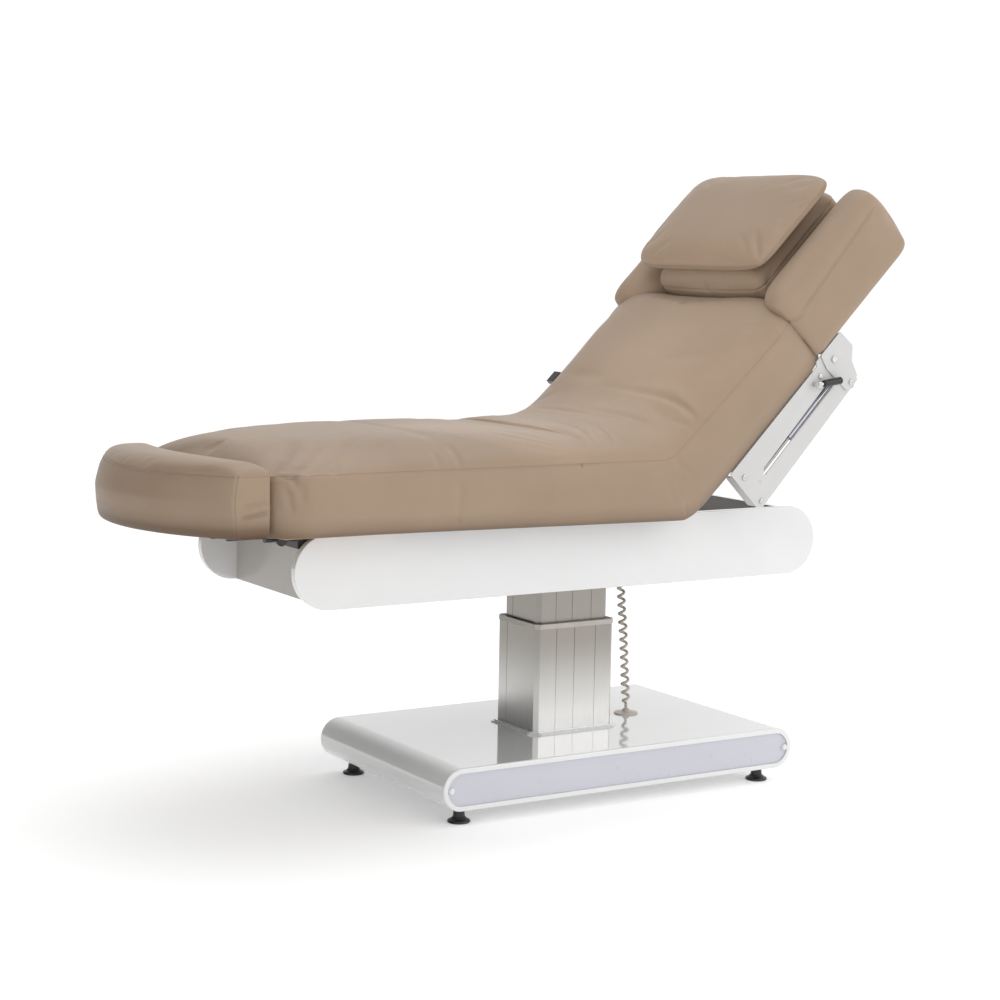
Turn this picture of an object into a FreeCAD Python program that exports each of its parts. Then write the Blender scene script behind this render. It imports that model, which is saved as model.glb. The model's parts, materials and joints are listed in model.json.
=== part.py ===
import FreeCAD, Part
import math
import os

# Facial treatment bed.  Millimetres, +Z up, +X towards the head end, near long side at -Y.
# The origin lies on the floor under the middle of the whole bed.  Lengths along X are given from
# the middle of the base, and save() moves them by BASE_X.
# The back and head sections are drawn flat, with U along the section and W square to it, measured
# from the recline hinge, and tilted() turns them to the backrest's angle.

V = FreeCAD.Vector

# Overall layout
BASE_X = 204.0                 # middle of the base, ahead of the origin
BACK_ANGLE = 45.0              # backrest above level
BACK_MAX = 65.0                # steepest backrest
LEG_MAX = 30.0                 # steepest leg section
HINGE_Z = 670.0
BACK_HINGE_X = 160.0
LEG_HINGE_X = -510.0
BOARD_Z = 685.0                # underside of the cushion boards
BOARD = 12.0
BOARD_W = BOARD_Z - HINGE_Z    # the same underside, measured square to the backrest
HALF_BED = 360.0               # half the mattress width

# Base
BASE_LENGTH = 1000.0
BASE_WIDTH = 610.0
BASE_LOW = 36.5
BASE_HEIGHT = 100.0
BASE_WALL = 12.0
BASE_TOP = BASE_LOW + BASE_HEIGHT
PANEL_RECESS = 4.0
EDGE_ROUND = 4.0
LIGHT_PANEL = 4.0
FOOT_X = 431.0
FOOT_Y = 257.0
FOOT_R = 27.0
STUD_R = 5.0
RUN = 0.05                     # radial running clearance

# Lifting column
COLUMN_X = -8.0
OUTER_X = 226.0
OUTER_Y = 181.0
OUTER_WALL = 6.0
INNER_X = 205.0
INNER_Y = 154.0
INNER_WALL = 5.0
CHAMFER = 10.0
CHASSIS_TOP = 79.0
COLLAR_LOW = 393.0
COLLAR_TOP = 405.0
INNER_LOW = 270.0
HEAD_PLATE_Z = 575.0
HEAD_PLATE = 8.0
SPINDLE_R = 10.0

# Curly cord
CORD_FOOT = V(219.0, 12.0, 149.0)
CORD_TOP = V(198.0, 12.0, 572.0)
CORD_ROUTE = [CORD_FOOT, V(219.0, 12.0, 190.0), V(218.0, 11.0, 270.0), V(211.0, 10.0, 360.0),
              V(203.0, 12.0, 450.0), V(198.0, 12.0, 530.0), CORD_TOP]
CORD_R = 11.0

# Upper box
BOX_LEFT = -852.0
BOX_RIGHT = 590.0
BOX_LOW = 514.0
BOX_HEIGHT = 168.0
BOX_HALF = 256.0
BOX_WALL = 18.0
FOOT_PANEL_X = -751.0
FOOT_PANEL_TOP = 633.0
HEAD_PANEL_X = 484.0
RAIL_Y = 180.0                 # middle of the long rails
RAIL_HALF = 15.0
FLAT_RAIL_HALF = 4.0
SUBFRAME_LOW = HEAD_PLATE_Z + HEAD_PLATE
SUBFRAME_TOP = 655.0
FLAT = 6.0                     # flat cross bars
TUBE_LOW = 656.0               # moving frames stay 1 mm above the subframe

# Mattress
CUSHION_LOW = BOARD_Z + BOARD
SEAM_Z = 822.0
CROWN_Z = 880.0
SIDE_TUCK = 12.0
FOOT_CORNER_X = -940.0
FOOT_CENTRE_X = -985.0
GAP_ANGLE = 1.0                # extra room, each side of a fold
BACK_END = 495.0
BACK_BOW = 528.0

# Actuators
BACK_CRANK = 62.0
BACK_MIDDLE = 35.0             # backrest angle at which its crank points straight down
LEG_CRANK = 60.0
CRANK_PIN_R = 6.0
SLOT_PLAY = 1.5
BACK_ACTUATOR_Y = 60.0
LEG_ACTUATOR_Y = -60.0

# Head mechanism, in U and W
PLATE_FACE = 350.0             # outer face of the side plates
PLATE_DEPTH = 33.0
SHEET = 3.0
HEAD_PIVOT = (546.0, -7.0)
STOP_SCREW = (546.0, -87.0)
GAS_PIN = (556.0, -57.0)
GAS_FOOT = (190.0, -62.0)
GAS_TUBE_R = 9.0
GAS_ROD_R = 4.0
LEVER_PIVOT = (464.0, -10.0)
LEVER_TIP = (521.0, -53.0)
PIN_R = 5.0
LEVER_OUT = 18.0                # middle of the lever, out from the side plate
PLATE_BOLTS = [(164.0, -20.0), (161.0, -100.0), (491.0, -10.0)]

# Head cushions, in U and W
HEAD_BOARD_LOW = 28.0
HEAD_START = 535.0
HEAD_END = 892.0
WING_IN = 226.0
WING_END = 898.0
WING_TOP = 222.0
HEAD_CUSHION_START = 560.0
HEAD_CUSHION_HALF = 218.0
HEAD_CUSHION_TOP = 232.0
PILLOW_LOW = 234.0
PILLOW_TOP = 305.0

# Foot bolster
BOLSTER_HALF = 335.0
BOLSTER_OUT = -1175.0
BOLSTER_OUT_END = -1030.0
BOLSTER_IN = -1001.0
BOLSTER_IN_END = -958.0
BOLSTER_LOW = 692.0
BOLSTER_TOP = 850.0
ROD_Y = 215.0
ROD_Z = 678.0
ROD_R = 5.0
SOCKET_Z = 674.5
SOCKET_R = 10.0
SOCKET_LEFT = -905.0
SOCKET_RIGHT = -740.0
KNOB_X = -880.0
KNOB_Z = 672.0

SIDES = (("near", -1), ("far", 1))


def box(x0, x1, y0, y1, z0, z1):
    """Box between two corners, given in any order along Y."""
    low = min(y0, y1)
    return Part.makeBox(x1 - x0, abs(y1 - y0), z1 - z0, V(x0, low, z0))


def round_rims(solid, faces_y, radius):
    """Round the long rims that lie on faces square to Y."""
    rims = []
    for edge in solid.Edges:
        middle = edge.BoundBox.Center.y
        if edge.BoundBox.YLength < 0.01 and any(abs(middle - y) < 0.01 for y in faces_y):
            rims.append(edge)
    return solid.makeFillet(radius, rims)


def rod(start, end, radius):
    """Round bar between two points."""
    line = end - start
    return Part.makeCylinder(radius, line.Length, start, line)


def fuse(shapes):
    """One clean solid from touching shapes."""
    return shapes[0].multiFuse(shapes[1:]).removeSplitter()


def group(shapes):
    return Part.makeCompound(shapes)


def both_sides(make):
    """The same piece on the near and the far side."""
    return group([make(side) for name, side in SIDES])


def cylinder_y(x, z, y0, y1, radius):
    return rod(V(x, y0, z), V(x, y1, z), radius)


def stadium(left, right, low, high, y0, y1):
    """Prism along Y with straight top and bottom and half-round ends."""
    radius = (high - low) / 2
    middle = (high + low) / 2
    a = V(left + radius, y0, low)
    b = V(right - radius, y0, low)
    c = V(right - radius, y0, high)
    d = V(left + radius, y0, high)
    edges = [
        Part.LineSegment(a, b).toShape(),
        Part.Arc(b, V(right, y0, middle), c).toShape(),
        Part.LineSegment(c, d).toShape(),
        Part.Arc(d, V(left, y0, middle), a).toShape(),
    ]
    return Part.Face(Part.Wire(edges)).extrude(V(0, y1 - y0, 0))


def plate(points, y0, y1, radius=0.0):
    """Prism along Y from an outline in X and Z, its corners rounded."""
    corners = [V(x, y0, z) for x, z in points]
    solid = Part.Face(Part.makePolygon(corners + corners[:1])).extrude(V(0, y1 - y0, 0))
    if radius:
        across = [edge for edge in solid.Edges if abs(edge.tangentAt(0).y) > 0.99]
        solid = solid.makeFillet(radius, across)
    return solid


def profile(size_x, size_y, low, high, chamfer, middle_x=COLUMN_X):
    """Upright bar with chamfered corners."""
    solid = box(middle_x - size_x / 2, middle_x + size_x / 2, -size_y / 2, size_y / 2, low, high)
    upright = [edge for edge in solid.Edges if abs(edge.tangentAt(0).z) > 0.99]
    return solid.makeChamfer(chamfer, upright)


def arc_face(start, middle, end, closing):
    """Face bounded by one arc and straight runs through the closing points."""
    edges = [Part.Arc(start, middle, end).toShape()]
    path = [end] + closing + [start]
    for a, b in zip(path[:-1], path[1:]):
        edges.append(Part.LineSegment(a, b).toShape())
    return Part.Face(Part.Wire(edges))


def crowned(x0, x1, low, seam, crown, half, tuck=SIDE_TUCK):
    """Pad along X: sides that lean out to the seam, and an arched top."""
    a = V(x0, -half, seam)
    b = V(x0, half, seam)
    foot = [V(x0, half - tuck, low), V(x0, -half + tuck, low)]
    return arc_face(a, V(x0, 0, crown), b, foot).extrude(V(x1 - x0, 0, 0))


def tilted(shape, angle=BACK_ANGLE):
    """From U and W at the recline hinge to the bed's frame."""
    turned = shape.copy()
    turned.rotate(V(0, 0, 0), V(0, 1, 0), -angle)
    turned.translate(V(BACK_HINGE_X, 0, HINGE_Z))
    return turned


def save(name, shape):
    """Write one node, moved to the bed's own origin."""
    moved = shape.copy()
    moved.translate(V(BASE_X, 0, 0))
    moved.exportStep("parts/" + name + ".step")


# ---------------------------------------------------------------- base

def make_base_shell():
    half = BASE_LENGTH / 2
    side = BASE_WIDTH / 2
    outside = round_rims(stadium(-half, half, BASE_LOW, BASE_TOP, -side, side), (-side, side), EDGE_ROUND)
    inside = stadium(-half + BASE_WALL, half - BASE_WALL, BASE_LOW + BASE_WALL, BASE_TOP - BASE_WALL,
                     -side, side)
    shell = outside.cut(inside)
    gap = 0.5
    cuts = [profile(OUTER_X + 2 * gap, OUTER_Y + 2 * gap, BASE_TOP - 2 * BASE_WALL, BASE_TOP + 1, CHAMFER)]
    cuts.append(rod(V(CORD_FOOT.x, CORD_FOOT.y, BASE_TOP - 2 * BASE_WALL),
                    V(CORD_FOOT.x, CORD_FOOT.y, BASE_TOP + 1), 8.0))
    for x in (-FOOT_X, FOOT_X):
        for y in (-FOOT_Y, FOOT_Y):
            cuts.append(rod(V(x, y, 0), V(x, y, BASE_LOW + 2 * BASE_WALL), 11.0))
    return shell.cut(group(cuts))


def make_light_panel(side):
    inset = BASE_WALL + 0.2
    half = BASE_LENGTH / 2 - inset
    face = side * (BASE_WIDTH / 2 - PANEL_RECESS)
    return stadium(-half, half, BASE_LOW + inset, BASE_TOP - inset, face, face - side * LIGHT_PANEL)


def make_panel_caps():
    """Domed caps over the light panels' end screws."""
    caps = []
    reach = 8.0
    rise = 8.0
    middle = BASE_LOW + BASE_HEIGHT / 2
    for x in (-1, 1):
        for name, side in SIDES:
            face = side * (BASE_WIDTH / 2 - PANEL_RECESS)
            centre_x = x * (BASE_LENGTH / 2 - BASE_WALL - reach - 1)
            disc = cylinder_y(centre_x, middle, face, face + side * rise, reach)
            rim = [edge for edge in disc.Edges if abs(edge.BoundBox.Center.y) > abs(face) + rise - 0.1]
            caps.append(disc.makeFillet(5.0, rim))
    return group(caps)


def make_led_strip(side):
    """Light strip on the outer face of a chassis rail, behind its panel."""
    back = side * (FOOT_Y + 20)
    low = BASE_LOW + BASE_WALL
    return box(-440, 440, back, back + side * 3, low + 8, low + 20)


def make_chassis():
    """Welded steel frame in the base, with bosses for the feet and a plate for the column."""
    low = BASE_LOW + BASE_WALL
    top = low + 25.0
    parts = []
    for y in (-FOOT_Y, FOOT_Y):
        parts.append(box(-450, 450, y - 20, y + 20, low, top))
    for x in (-150, 130):
        parts.append(box(x - 20 + 5, x + 20 + 5, -FOOT_Y, FOOT_Y, low, top))
    parts.append(box(COLUMN_X - 160, COLUMN_X + 160, -120, 120, CHASSIS_TOP - 8.5, CHASSIS_TOP))
    frame = fuse(parts)
    bores = []
    for x in (-FOOT_X, FOOT_X):
        for y in (-FOOT_Y, FOOT_Y):
            bores.append(rod(V(x, y, low - 1), V(x, y, top + 1), STUD_R + RUN))
    return frame.cut(group(bores))


def make_foot(x, y):
    """Levelling foot: flared pad, waisted neck and threaded stud."""
    outline = [
        V(0, 0, 0), V(FOOT_R - 2, 0, 0), V(FOOT_R, 0, 2.5), V(FOOT_R - 1.5, 0, 6), V(18, 0, 9.5),
        V(14, 0, 15), V(13, 0, 24), V(13, 0, BASE_LOW - 0.3), V(STUD_R, 0, BASE_LOW - 0.3), V(STUD_R, 0, 96),
        V(0, 0, 96),
    ]
    solid = Part.Face(Part.makePolygon(outline + outline[:1])).revolve(V(0, 0, 0), V(0, 0, 1), 360)
    solid.translate(V(x, y, 0))
    return solid


# ---------------------------------------------------------------- lifting column

def groove_cuts(size_x, size_y, low, high):
    """Fine upright grooves in the four faces of a column stage."""
    width = 1.2
    depth = 1.0
    cuts = []
    for share in (-0.25, -0.02, 0.25):
        x = COLUMN_X + share * size_x
        for side in (-1, 1):
            face = side * size_y / 2
            cuts.append(box(x, x + width, face - side * depth, face + side, low, high))
    for side in (-1, 1):
        face = COLUMN_X + side * size_x / 2
        y = 0.24 * size_y
        cuts.append(box(min(face - side * depth, face + side), max(face - side * depth, face + side),
                        y, y + width, low, high))
    return group(cuts)


def make_column_outer():
    tube = profile(OUTER_X, OUTER_Y, CHASSIS_TOP, COLLAR_LOW, CHAMFER)
    hollow = profile(OUTER_X - 2 * OUTER_WALL, OUTER_Y - 2 * OUTER_WALL, CHASSIS_TOP, COLLAR_LOW, CHAMFER)
    return tube.cut(hollow).cut(groove_cuts(OUTER_X, OUTER_Y, BASE_TOP, COLLAR_LOW))


def make_column_inner():
    tube = profile(INNER_X, INNER_Y, INNER_LOW, HEAD_PLATE_Z, CHAMFER + 0.6)
    hollow = profile(INNER_X - 2 * INNER_WALL, INNER_Y - 2 * INNER_WALL, INNER_LOW, HEAD_PLATE_Z, CHAMFER)
    return tube.cut(hollow).cut(groove_cuts(INNER_X, INNER_Y, INNER_LOW, HEAD_PLATE_Z))


def make_collar():
    ring = profile(OUTER_X + 3, OUTER_Y + 3, COLLAR_LOW, COLLAR_TOP, CHAMFER + 0.5)
    hole = profile(INNER_X + 3, INNER_Y + 3, COLLAR_LOW, COLLAR_TOP, CHAMFER)
    return ring.cut(hole)


def make_foot_trim():
    """Two-step trim around the foot of the column."""
    steps = [
        profile(OUTER_X + 34, OUTER_Y + 34, BASE_TOP, BASE_TOP + 3, 24),
        profile(OUTER_X + 20, OUTER_Y + 20, BASE_TOP, BASE_TOP + 6, 18),
    ]
    hole = profile(OUTER_X + 1, OUTER_Y + 1, BASE_TOP - 1, BASE_TOP + 7, CHAMFER)
    return fuse(steps).cut(hole)


def make_lift_motor():
    """Gear motor in the foot of the column, with the tube that guides the spindle."""
    body = box(COLUMN_X - 60, COLUMN_X + 60, -45, 45, CHASSIS_TOP, CHASSIS_TOP + 110)
    tube = rod(V(COLUMN_X, 0, CHASSIS_TOP), V(COLUMN_X, 0, 345), 17.0)
    bore = rod(V(COLUMN_X, 0, CHASSIS_TOP + 2), V(COLUMN_X, 0, 346), SPINDLE_R + RUN)
    return fuse([body, tube]).cut(bore)


def make_grommet():
    """Flat round cord grommet with a short neck."""
    x = CORD_FOOT.x
    y = CORD_FOOT.y
    outline = [V(0, 0, BASE_TOP), V(31, 0, BASE_TOP), V(30, 0, BASE_TOP + 3), V(12, 0, BASE_TOP + 6),
               V(7, 0, CORD_FOOT.z), V(0, 0, CORD_FOOT.z)]
    solid = Part.Face(Part.makePolygon(outline + outline[:1])).revolve(V(0, 0, 0), V(0, 0, 1), 360)
    solid.translate(V(x, y, 0))
    return solid


def make_cord():
    """Envelope of the curly cord's coils, along its slightly slack route."""
    line = Part.BSplineCurve()
    line.buildFromPoles(CORD_ROUTE, False, 2)
    section = Part.Wire(Part.makeCircle(CORD_R, CORD_FOOT, V(0, 0, 1)))
    return Part.Wire(line.toShape()).makePipeShell([section], True, False)


# ---------------------------------------------------------------- upper box

def make_side_panel(side):
    outer = side * BOX_HALF
    panel = stadium(BOX_LEFT, BOX_RIGHT, BOX_LOW, BOX_LOW + BOX_HEIGHT, outer, side * (BOX_HALF - BOX_WALL))
    return round_rims(panel, (outer, side * (BOX_HALF - BOX_WALL)), EDGE_ROUND / 2)


def make_cross_panel(middle, high):
    inner = BOX_HALF - BOX_WALL
    return box(middle - BOX_WALL / 2, middle + BOX_WALL / 2, -inner, inner, BOX_LOW, high)


def make_subframe():
    """Long rails on the column's head plate, with end tubes and flat cross bars between and beside them."""
    left = FOOT_PANEL_X + BOX_WALL / 2
    right = HEAD_PANEL_X - BOX_WALL / 2
    outer = BOX_HALF - BOX_WALL
    rail_in = RAIL_Y - FLAT_RAIL_HALF
    rail_out = RAIL_Y + FLAT_RAIL_HALF
    parts = []
    for side in (-1, 1):
        parts.append(box(left, right, side * rail_in, side * rail_out, SUBFRAME_LOW, SUBFRAME_TOP))
    for x in (left, right - 30):
        for y0, y1 in ((-outer, -rail_out), (-rail_in, rail_in), (rail_out, outer)):
            parts.append(box(x, x + 30, y0, y1, SUBFRAME_LOW, SUBFRAME_LOW + 30))
    for x in (-620.0, -275.0, 178.0):
        parts.append(box(x, x + 40, -rail_in, rail_in, SUBFRAME_LOW, SUBFRAME_LOW + FLAT))
    return group(parts)


def hinge_lug(x, y0, y1, toward, play):
    """Ear around a section hinge, reaching back to its own rail."""
    reach = toward * 50.0
    x0 = min(x, x + reach)
    x1 = max(x, x + reach)
    ear = fuse([box(x0, x1, y0, y1, HINGE_Z - 13, HINGE_Z + 13), cylinder_y(x, HINGE_Z, y0, y1, 13)])
    return ear.cut(cylinder_y(x, HINGE_Z, y0 - 1, y1 + 1, CRANK_PIN_R + play))


def make_seat_frame():
    left = LEG_HINGE_X + 18
    right = BACK_HINGE_X - 18
    parts = []
    for side in (-1, 1):
        middle = side * RAIL_Y
        parts.append(box(left, right, middle - RAIL_HALF, middle + RAIL_HALF, SUBFRAME_TOP, BOARD_Z))
        face = side * (RAIL_Y + RAIL_HALF)
        outer = face + side * 6
        parts.append(hinge_lug(BACK_HINGE_X, min(face, outer), max(face, outer), -1, 0.0))
        parts.append(hinge_lug(LEG_HINGE_X, min(face, outer), max(face, outer), 1, 0.0))
    for x in (left, right - 80):
        parts.append(box(x, x + 30, -RAIL_Y, RAIL_Y, SUBFRAME_TOP, BOARD_Z))
    return fuse(parts)


def make_hinge_pins():
    """Headed pins of the back and leg hinges."""
    pins = []
    for x in (LEG_HINGE_X, BACK_HINGE_X):
        for side in (-1, 1):
            start = side * (RAIL_Y + RAIL_HALF - 8)
            end = side * (RAIL_Y + RAIL_HALF + 16)
            head = cylinder_y(x, HINGE_Z, end, end + side * 4, 10)
            pins.append(fuse([cylinder_y(x, HINGE_Z, start, end, CRANK_PIN_R), head]))
    return group(pins)


def make_seat_board():
    return box(LEG_HINGE_X + 20, BACK_HINGE_X - 20, -330, 330, BOARD_Z, CUSHION_LOW)


def fold_wedge(x, lean, half=400.0):
    """Space cleared at a fold: everything past a plane through the hinge that leans by an angle."""
    slope = math.tan(math.radians(lean))
    high = 300.0
    far = 900.0 if lean > 0 else -900.0
    top = HINGE_Z + high
    outline = [(x, HINGE_Z), (x - slope * high, top), (x + far, top), (x + far, HINGE_Z)]
    return plate(outline, -half, half)


def make_mattress_seat():
    pad = crowned(LEG_HINGE_X, BACK_HINGE_X, CUSHION_LOW, SEAM_Z, CROWN_Z, HALF_BED)
    pad = pad.cut(fold_wedge(BACK_HINGE_X, BACK_MAX / 2 + GAP_ANGLE))
    return pad.cut(fold_wedge(LEG_HINGE_X, -(LEG_MAX / 2 + GAP_ANGLE)))


# ---------------------------------------------------------------- leg section

def foot_end_plan(x_corner, x_centre, half, right, low, high):
    """Plan of a pad whose foot end bows outward."""
    face = arc_face(V(x_corner, -half, low), V(x_centre, 0, low), V(x_corner, half, low),
                    [V(right, half, low), V(right, -half, low)])
    return face.extrude(V(0, 0, high - low))


def make_mattress_leg():
    pad = crowned(FOOT_CENTRE_X, LEG_HINGE_X, CUSHION_LOW, SEAM_Z, CROWN_Z, HALF_BED)
    plan = foot_end_plan(FOOT_CORNER_X, FOOT_CENTRE_X, HALF_BED, LEG_HINGE_X, CUSHION_LOW, CROWN_Z + 1)
    return pad.common(plan).cut(fold_wedge(LEG_HINGE_X, LEG_MAX / 2 + GAP_ANGLE))


def make_leg_board():
    return foot_end_plan(FOOT_CORNER_X + 30, FOOT_CENTRE_X + 30, 330, LEG_HINGE_X - 20, BOARD_Z, CUSHION_LOW)


def make_crank(x, z, angle, radius, y, thick=8.0):
    """Drop arm from a hinge line down to an actuator pin; angle is from straight down, toward +X."""
    pin_x = x + radius * math.sin(math.radians(angle))
    pin_z = z - radius * math.cos(math.radians(angle))
    arms = []
    for side in (-1, 1):
        middle = y + side * 12
        y0 = middle - thick / 2
        y1 = middle + thick / 2
        turn = FreeCAD.Rotation(V(0, 1, 0), -angle)
        web = box(-11, 11, y0, y1, -radius, 9)
        web.Placement = FreeCAD.Placement(V(x, 0, z), turn)
        arms.append(fuse([web, cylinder_y(pin_x, pin_z, y0, y1, 11)]))
    pin = cylinder_y(pin_x, pin_z, y - 20, y + 20, CRANK_PIN_R)
    return arms + [pin]


def make_leg_frame():
    left = -835.0
    right = LEG_HINGE_X - 18
    parts = []
    for side in (-1, 1):
        middle = side * RAIL_Y
        parts.append(box(left, right, middle - RAIL_HALF, middle + RAIL_HALF, TUBE_LOW, BOARD_Z))
        face = side * (RAIL_Y + RAIL_HALF + 6.5)
        outer = face + side * 6
        lug = hinge_lug(LEG_HINGE_X, min(face, outer), max(face, outer), -1, RUN)
        pad_y = side * (RAIL_Y + RAIL_HALF)
        spacer = box(LEG_HINGE_X - 50, LEG_HINGE_X - 22, pad_y, outer, HINGE_Z - 13, HINGE_Z + 13)
        parts.extend([lug, spacer])
    sockets = []
    for side in (-1, 1):
        y = side * ROD_Y
        sockets.append(rod(V(left - 1, y, SOCKET_Z), V(left + 31, y, SOCKET_Z), SOCKET_R))
    parts.append(box(left, left + 30, -235, 235, 650, 680).cut(group(sockets)))
    parts.append(box(LEG_HINGE_X - 48, right, -RAIL_Y, RAIL_Y, TUBE_LOW, BOARD_Z))
    parts.append(box(LEG_HINGE_X - 40, LEG_HINGE_X + 6, LEG_ACTUATOR_Y - 16, LEG_ACTUATOR_Y + 16,
                     HINGE_Z + 3, BOARD_Z))
    parts.extend(make_crank(LEG_HINGE_X, HINGE_Z, LEG_MAX / 2, LEG_CRANK, LEG_ACTUATOR_Y))
    return fuse(parts)


def make_rod_socket(side):
    """Socket tube for one bolster rod, with a tapped cross hole for its clamp knob."""
    y = side * ROD_Y
    tube = rod(V(SOCKET_LEFT, y, SOCKET_Z), V(SOCKET_RIGHT, y, SOCKET_Z), SOCKET_R)
    boss = cylinder_y(KNOB_X, KNOB_Z, y, y + side * (SOCKET_R + 4), 8)
    bore = rod(V(SOCKET_LEFT - 1, y, ROD_Z), V(SOCKET_RIGHT + 1, y, ROD_Z), ROD_R + RUN)
    cross = cylinder_y(KNOB_X, KNOB_Z, y, y + side * (SOCKET_R + 5), 3 + RUN)
    return fuse([tube, boss]).cut(group([bore, cross]))


def make_clamp_knob(side):
    """Round clamp knob and its screw."""
    y = side * ROD_Y
    z = KNOB_Z
    screw = cylinder_y(KNOB_X, z, y + side * (ROD_R + 0.6), y + side * 30, 3)
    start = y + side * (SOCKET_R + 5)
    collar = cylinder_y(KNOB_X, z, start, start + side * 8, 8)
    disc = cylinder_y(KNOB_X, z, start + side * 8, start + side * 22, 12)
    rims = [edge for edge in disc.Edges if edge.Length > 50 and len(edge.Vertexes) == 1]
    return fuse([screw, collar, disc.makeFillet(2.5, rims)])


# ---------------------------------------------------------------- foot bolster

def make_bolster():
    """Crescent pad that follows the mattress's bowed foot end."""
    half = BOLSTER_HALF
    a = V(BOLSTER_IN_END, -half, BOLSTER_LOW)
    b = V(BOLSTER_OUT_END, -half, BOLSTER_LOW)
    c = V(BOLSTER_OUT_END, half, BOLSTER_LOW)
    d = V(BOLSTER_IN_END, half, BOLSTER_LOW)
    edges = [
        Part.LineSegment(a, b).toShape(),
        Part.Arc(b, V(BOLSTER_OUT, 0, BOLSTER_LOW), c).toShape(),
        Part.LineSegment(c, d).toShape(),
        Part.Arc(d, V(BOLSTER_IN, 0, BOLSTER_LOW), a).toShape(),
    ]
    solid = Part.Face(Part.Wire(edges)).extrude(V(0, 0, BOLSTER_TOP - BOLSTER_LOW))
    top = [edge for edge in solid.Edges if edge.BoundBox.ZMin > BOLSTER_TOP - 1]
    return solid.makeFillet(20, top)


def make_bolster_rods():
    """Two rods welded under the plate that carries the bolster."""
    plate_low = ROD_Z + ROD_R - 2
    parts = [box(-1030, -1004, -223, 223, plate_low, BOLSTER_LOW)]
    for side in (-1, 1):
        y = side * ROD_Y
        parts.append(box(-1006, -984, y - 8, y + 8, plate_low, BOLSTER_LOW))
        parts.append(rod(V(-993, y, ROD_Z), V(SOCKET_RIGHT - 5, y, ROD_Z), ROD_R))
    return fuse(parts)


# ---------------------------------------------------------------- actuators

def slotted_end(x, z, y, drop, tail):
    """Flat rod end with an upright slot for the crank pin; its tail points back to the actuator."""
    wide = CRANK_PIN_R + SLOT_PLAY
    low = z - drop
    high = z + drop
    left = min(x - 16, x + tail)
    right = max(x + 16, x + tail)
    head = box(left, right, y - 6, y + 6, low - 15, high + 15)
    slot = fuse([box(x - wide, x + wide, y - 8, y + 8, low, high),
                 cylinder_y(x, low, y - 8, y + 8, wide), cylinder_y(x, high, y - 8, y + 8, wide)])
    return head.cut(slot)


def make_actuator(rear, front, z, y, floor, cradle_x, cradle_floor):
    """Actuator housing: tube, gear motor, and two feet that stand on the frame."""
    toward = 1 if front > rear else -1
    tube = rod(V(rear, y, z), V(front, y, z), 18.0)
    bore = rod(V(rear + toward * 30, y, z), V(front + toward, y, z), 10.0 + RUN)
    x0 = min(rear, rear + toward * 70)
    motor = box(x0, x0 + 70, y - 20, y + 20, z - 20, z + 20)
    foot_x = min(rear - toward * 2, rear + toward * 32)
    foot = box(foot_x, foot_x + 34, y - 20, y + 20, floor, z)
    cradle = box(cradle_x, cradle_x + 16, y - 12, y + 12, cradle_floor, z)
    return fuse([tube, motor, foot, cradle]).cut(bore)


def crank_pin(hinge_x, angle, radius):
    """Middle of a crank pin in X and Z."""
    turn = math.radians(angle)
    return hinge_x + radius * math.sin(turn), HINGE_Z - radius * math.cos(turn)


# ---------------------------------------------------------------- back section

def make_back_frame():
    """Short frame that fits between the box's cross panels when the backrest lies flat."""
    low = TUBE_LOW - HINGE_Z
    high = BOARD_W
    parts = []
    for side in (-1, 1):
        middle = side * RAIL_Y
        parts.append(box(18, 300, middle - RAIL_HALF, middle + RAIL_HALF, low, high))
        face = side * (RAIL_Y + RAIL_HALF + 6.5)
        outer = face + side * 6
        lug = hinge_lug(0, min(face, outer), max(face, outer), 1, RUN)
        lug.translate(V(0, 0, -HINGE_Z))
        pad_y = side * (RAIL_Y + RAIL_HALF)
        parts.extend([lug, box(22, 50, pad_y, outer, -13, 13)])
    parts.append(box(270, 300, -RAIL_Y, RAIL_Y, low, high))
    parts.append(box(18, 48, -RAIL_Y, RAIL_Y, low, high))
    parts.append(box(-6, 30, BACK_ACTUATOR_Y - 16, BACK_ACTUATOR_Y + 16, 3, high))
    frame = tilted(fuse(parts))
    crank = make_crank(BACK_HINGE_X, HINGE_Z, BACK_ANGLE - BACK_MIDDLE, BACK_CRANK, BACK_ACTUATOR_Y)
    return fuse([frame] + crank)


def make_back_board():
    return tilted(box(20, BACK_END - 15, -330, 330, BOARD_W, BOARD_W + BOARD))


def make_mattress_back():
    low = BOARD_W + BOARD
    pad = crowned(0, BACK_BOW, low, SEAM_Z - HINGE_Z, CROWN_Z - HINGE_Z - 2, HALF_BED)
    bow = arc_face(V(BACK_END, -HALF_BED, low), V(BACK_BOW, 0, low), V(BACK_END, HALF_BED, low),
                   [V(-50, HALF_BED, low), V(-50, -HALF_BED, low)])
    pad = pad.common(bow.extrude(V(0, 0, 300)))
    slope = 1 / math.tan(math.radians(90 - BACK_MAX / 2 - GAP_ANGLE))
    high = 300.0
    wedge = plate([(-50, 0), (0, 0), (slope * high, high), (-50, high)], -400, 400)
    return tilted(pad.cut(wedge))


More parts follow.
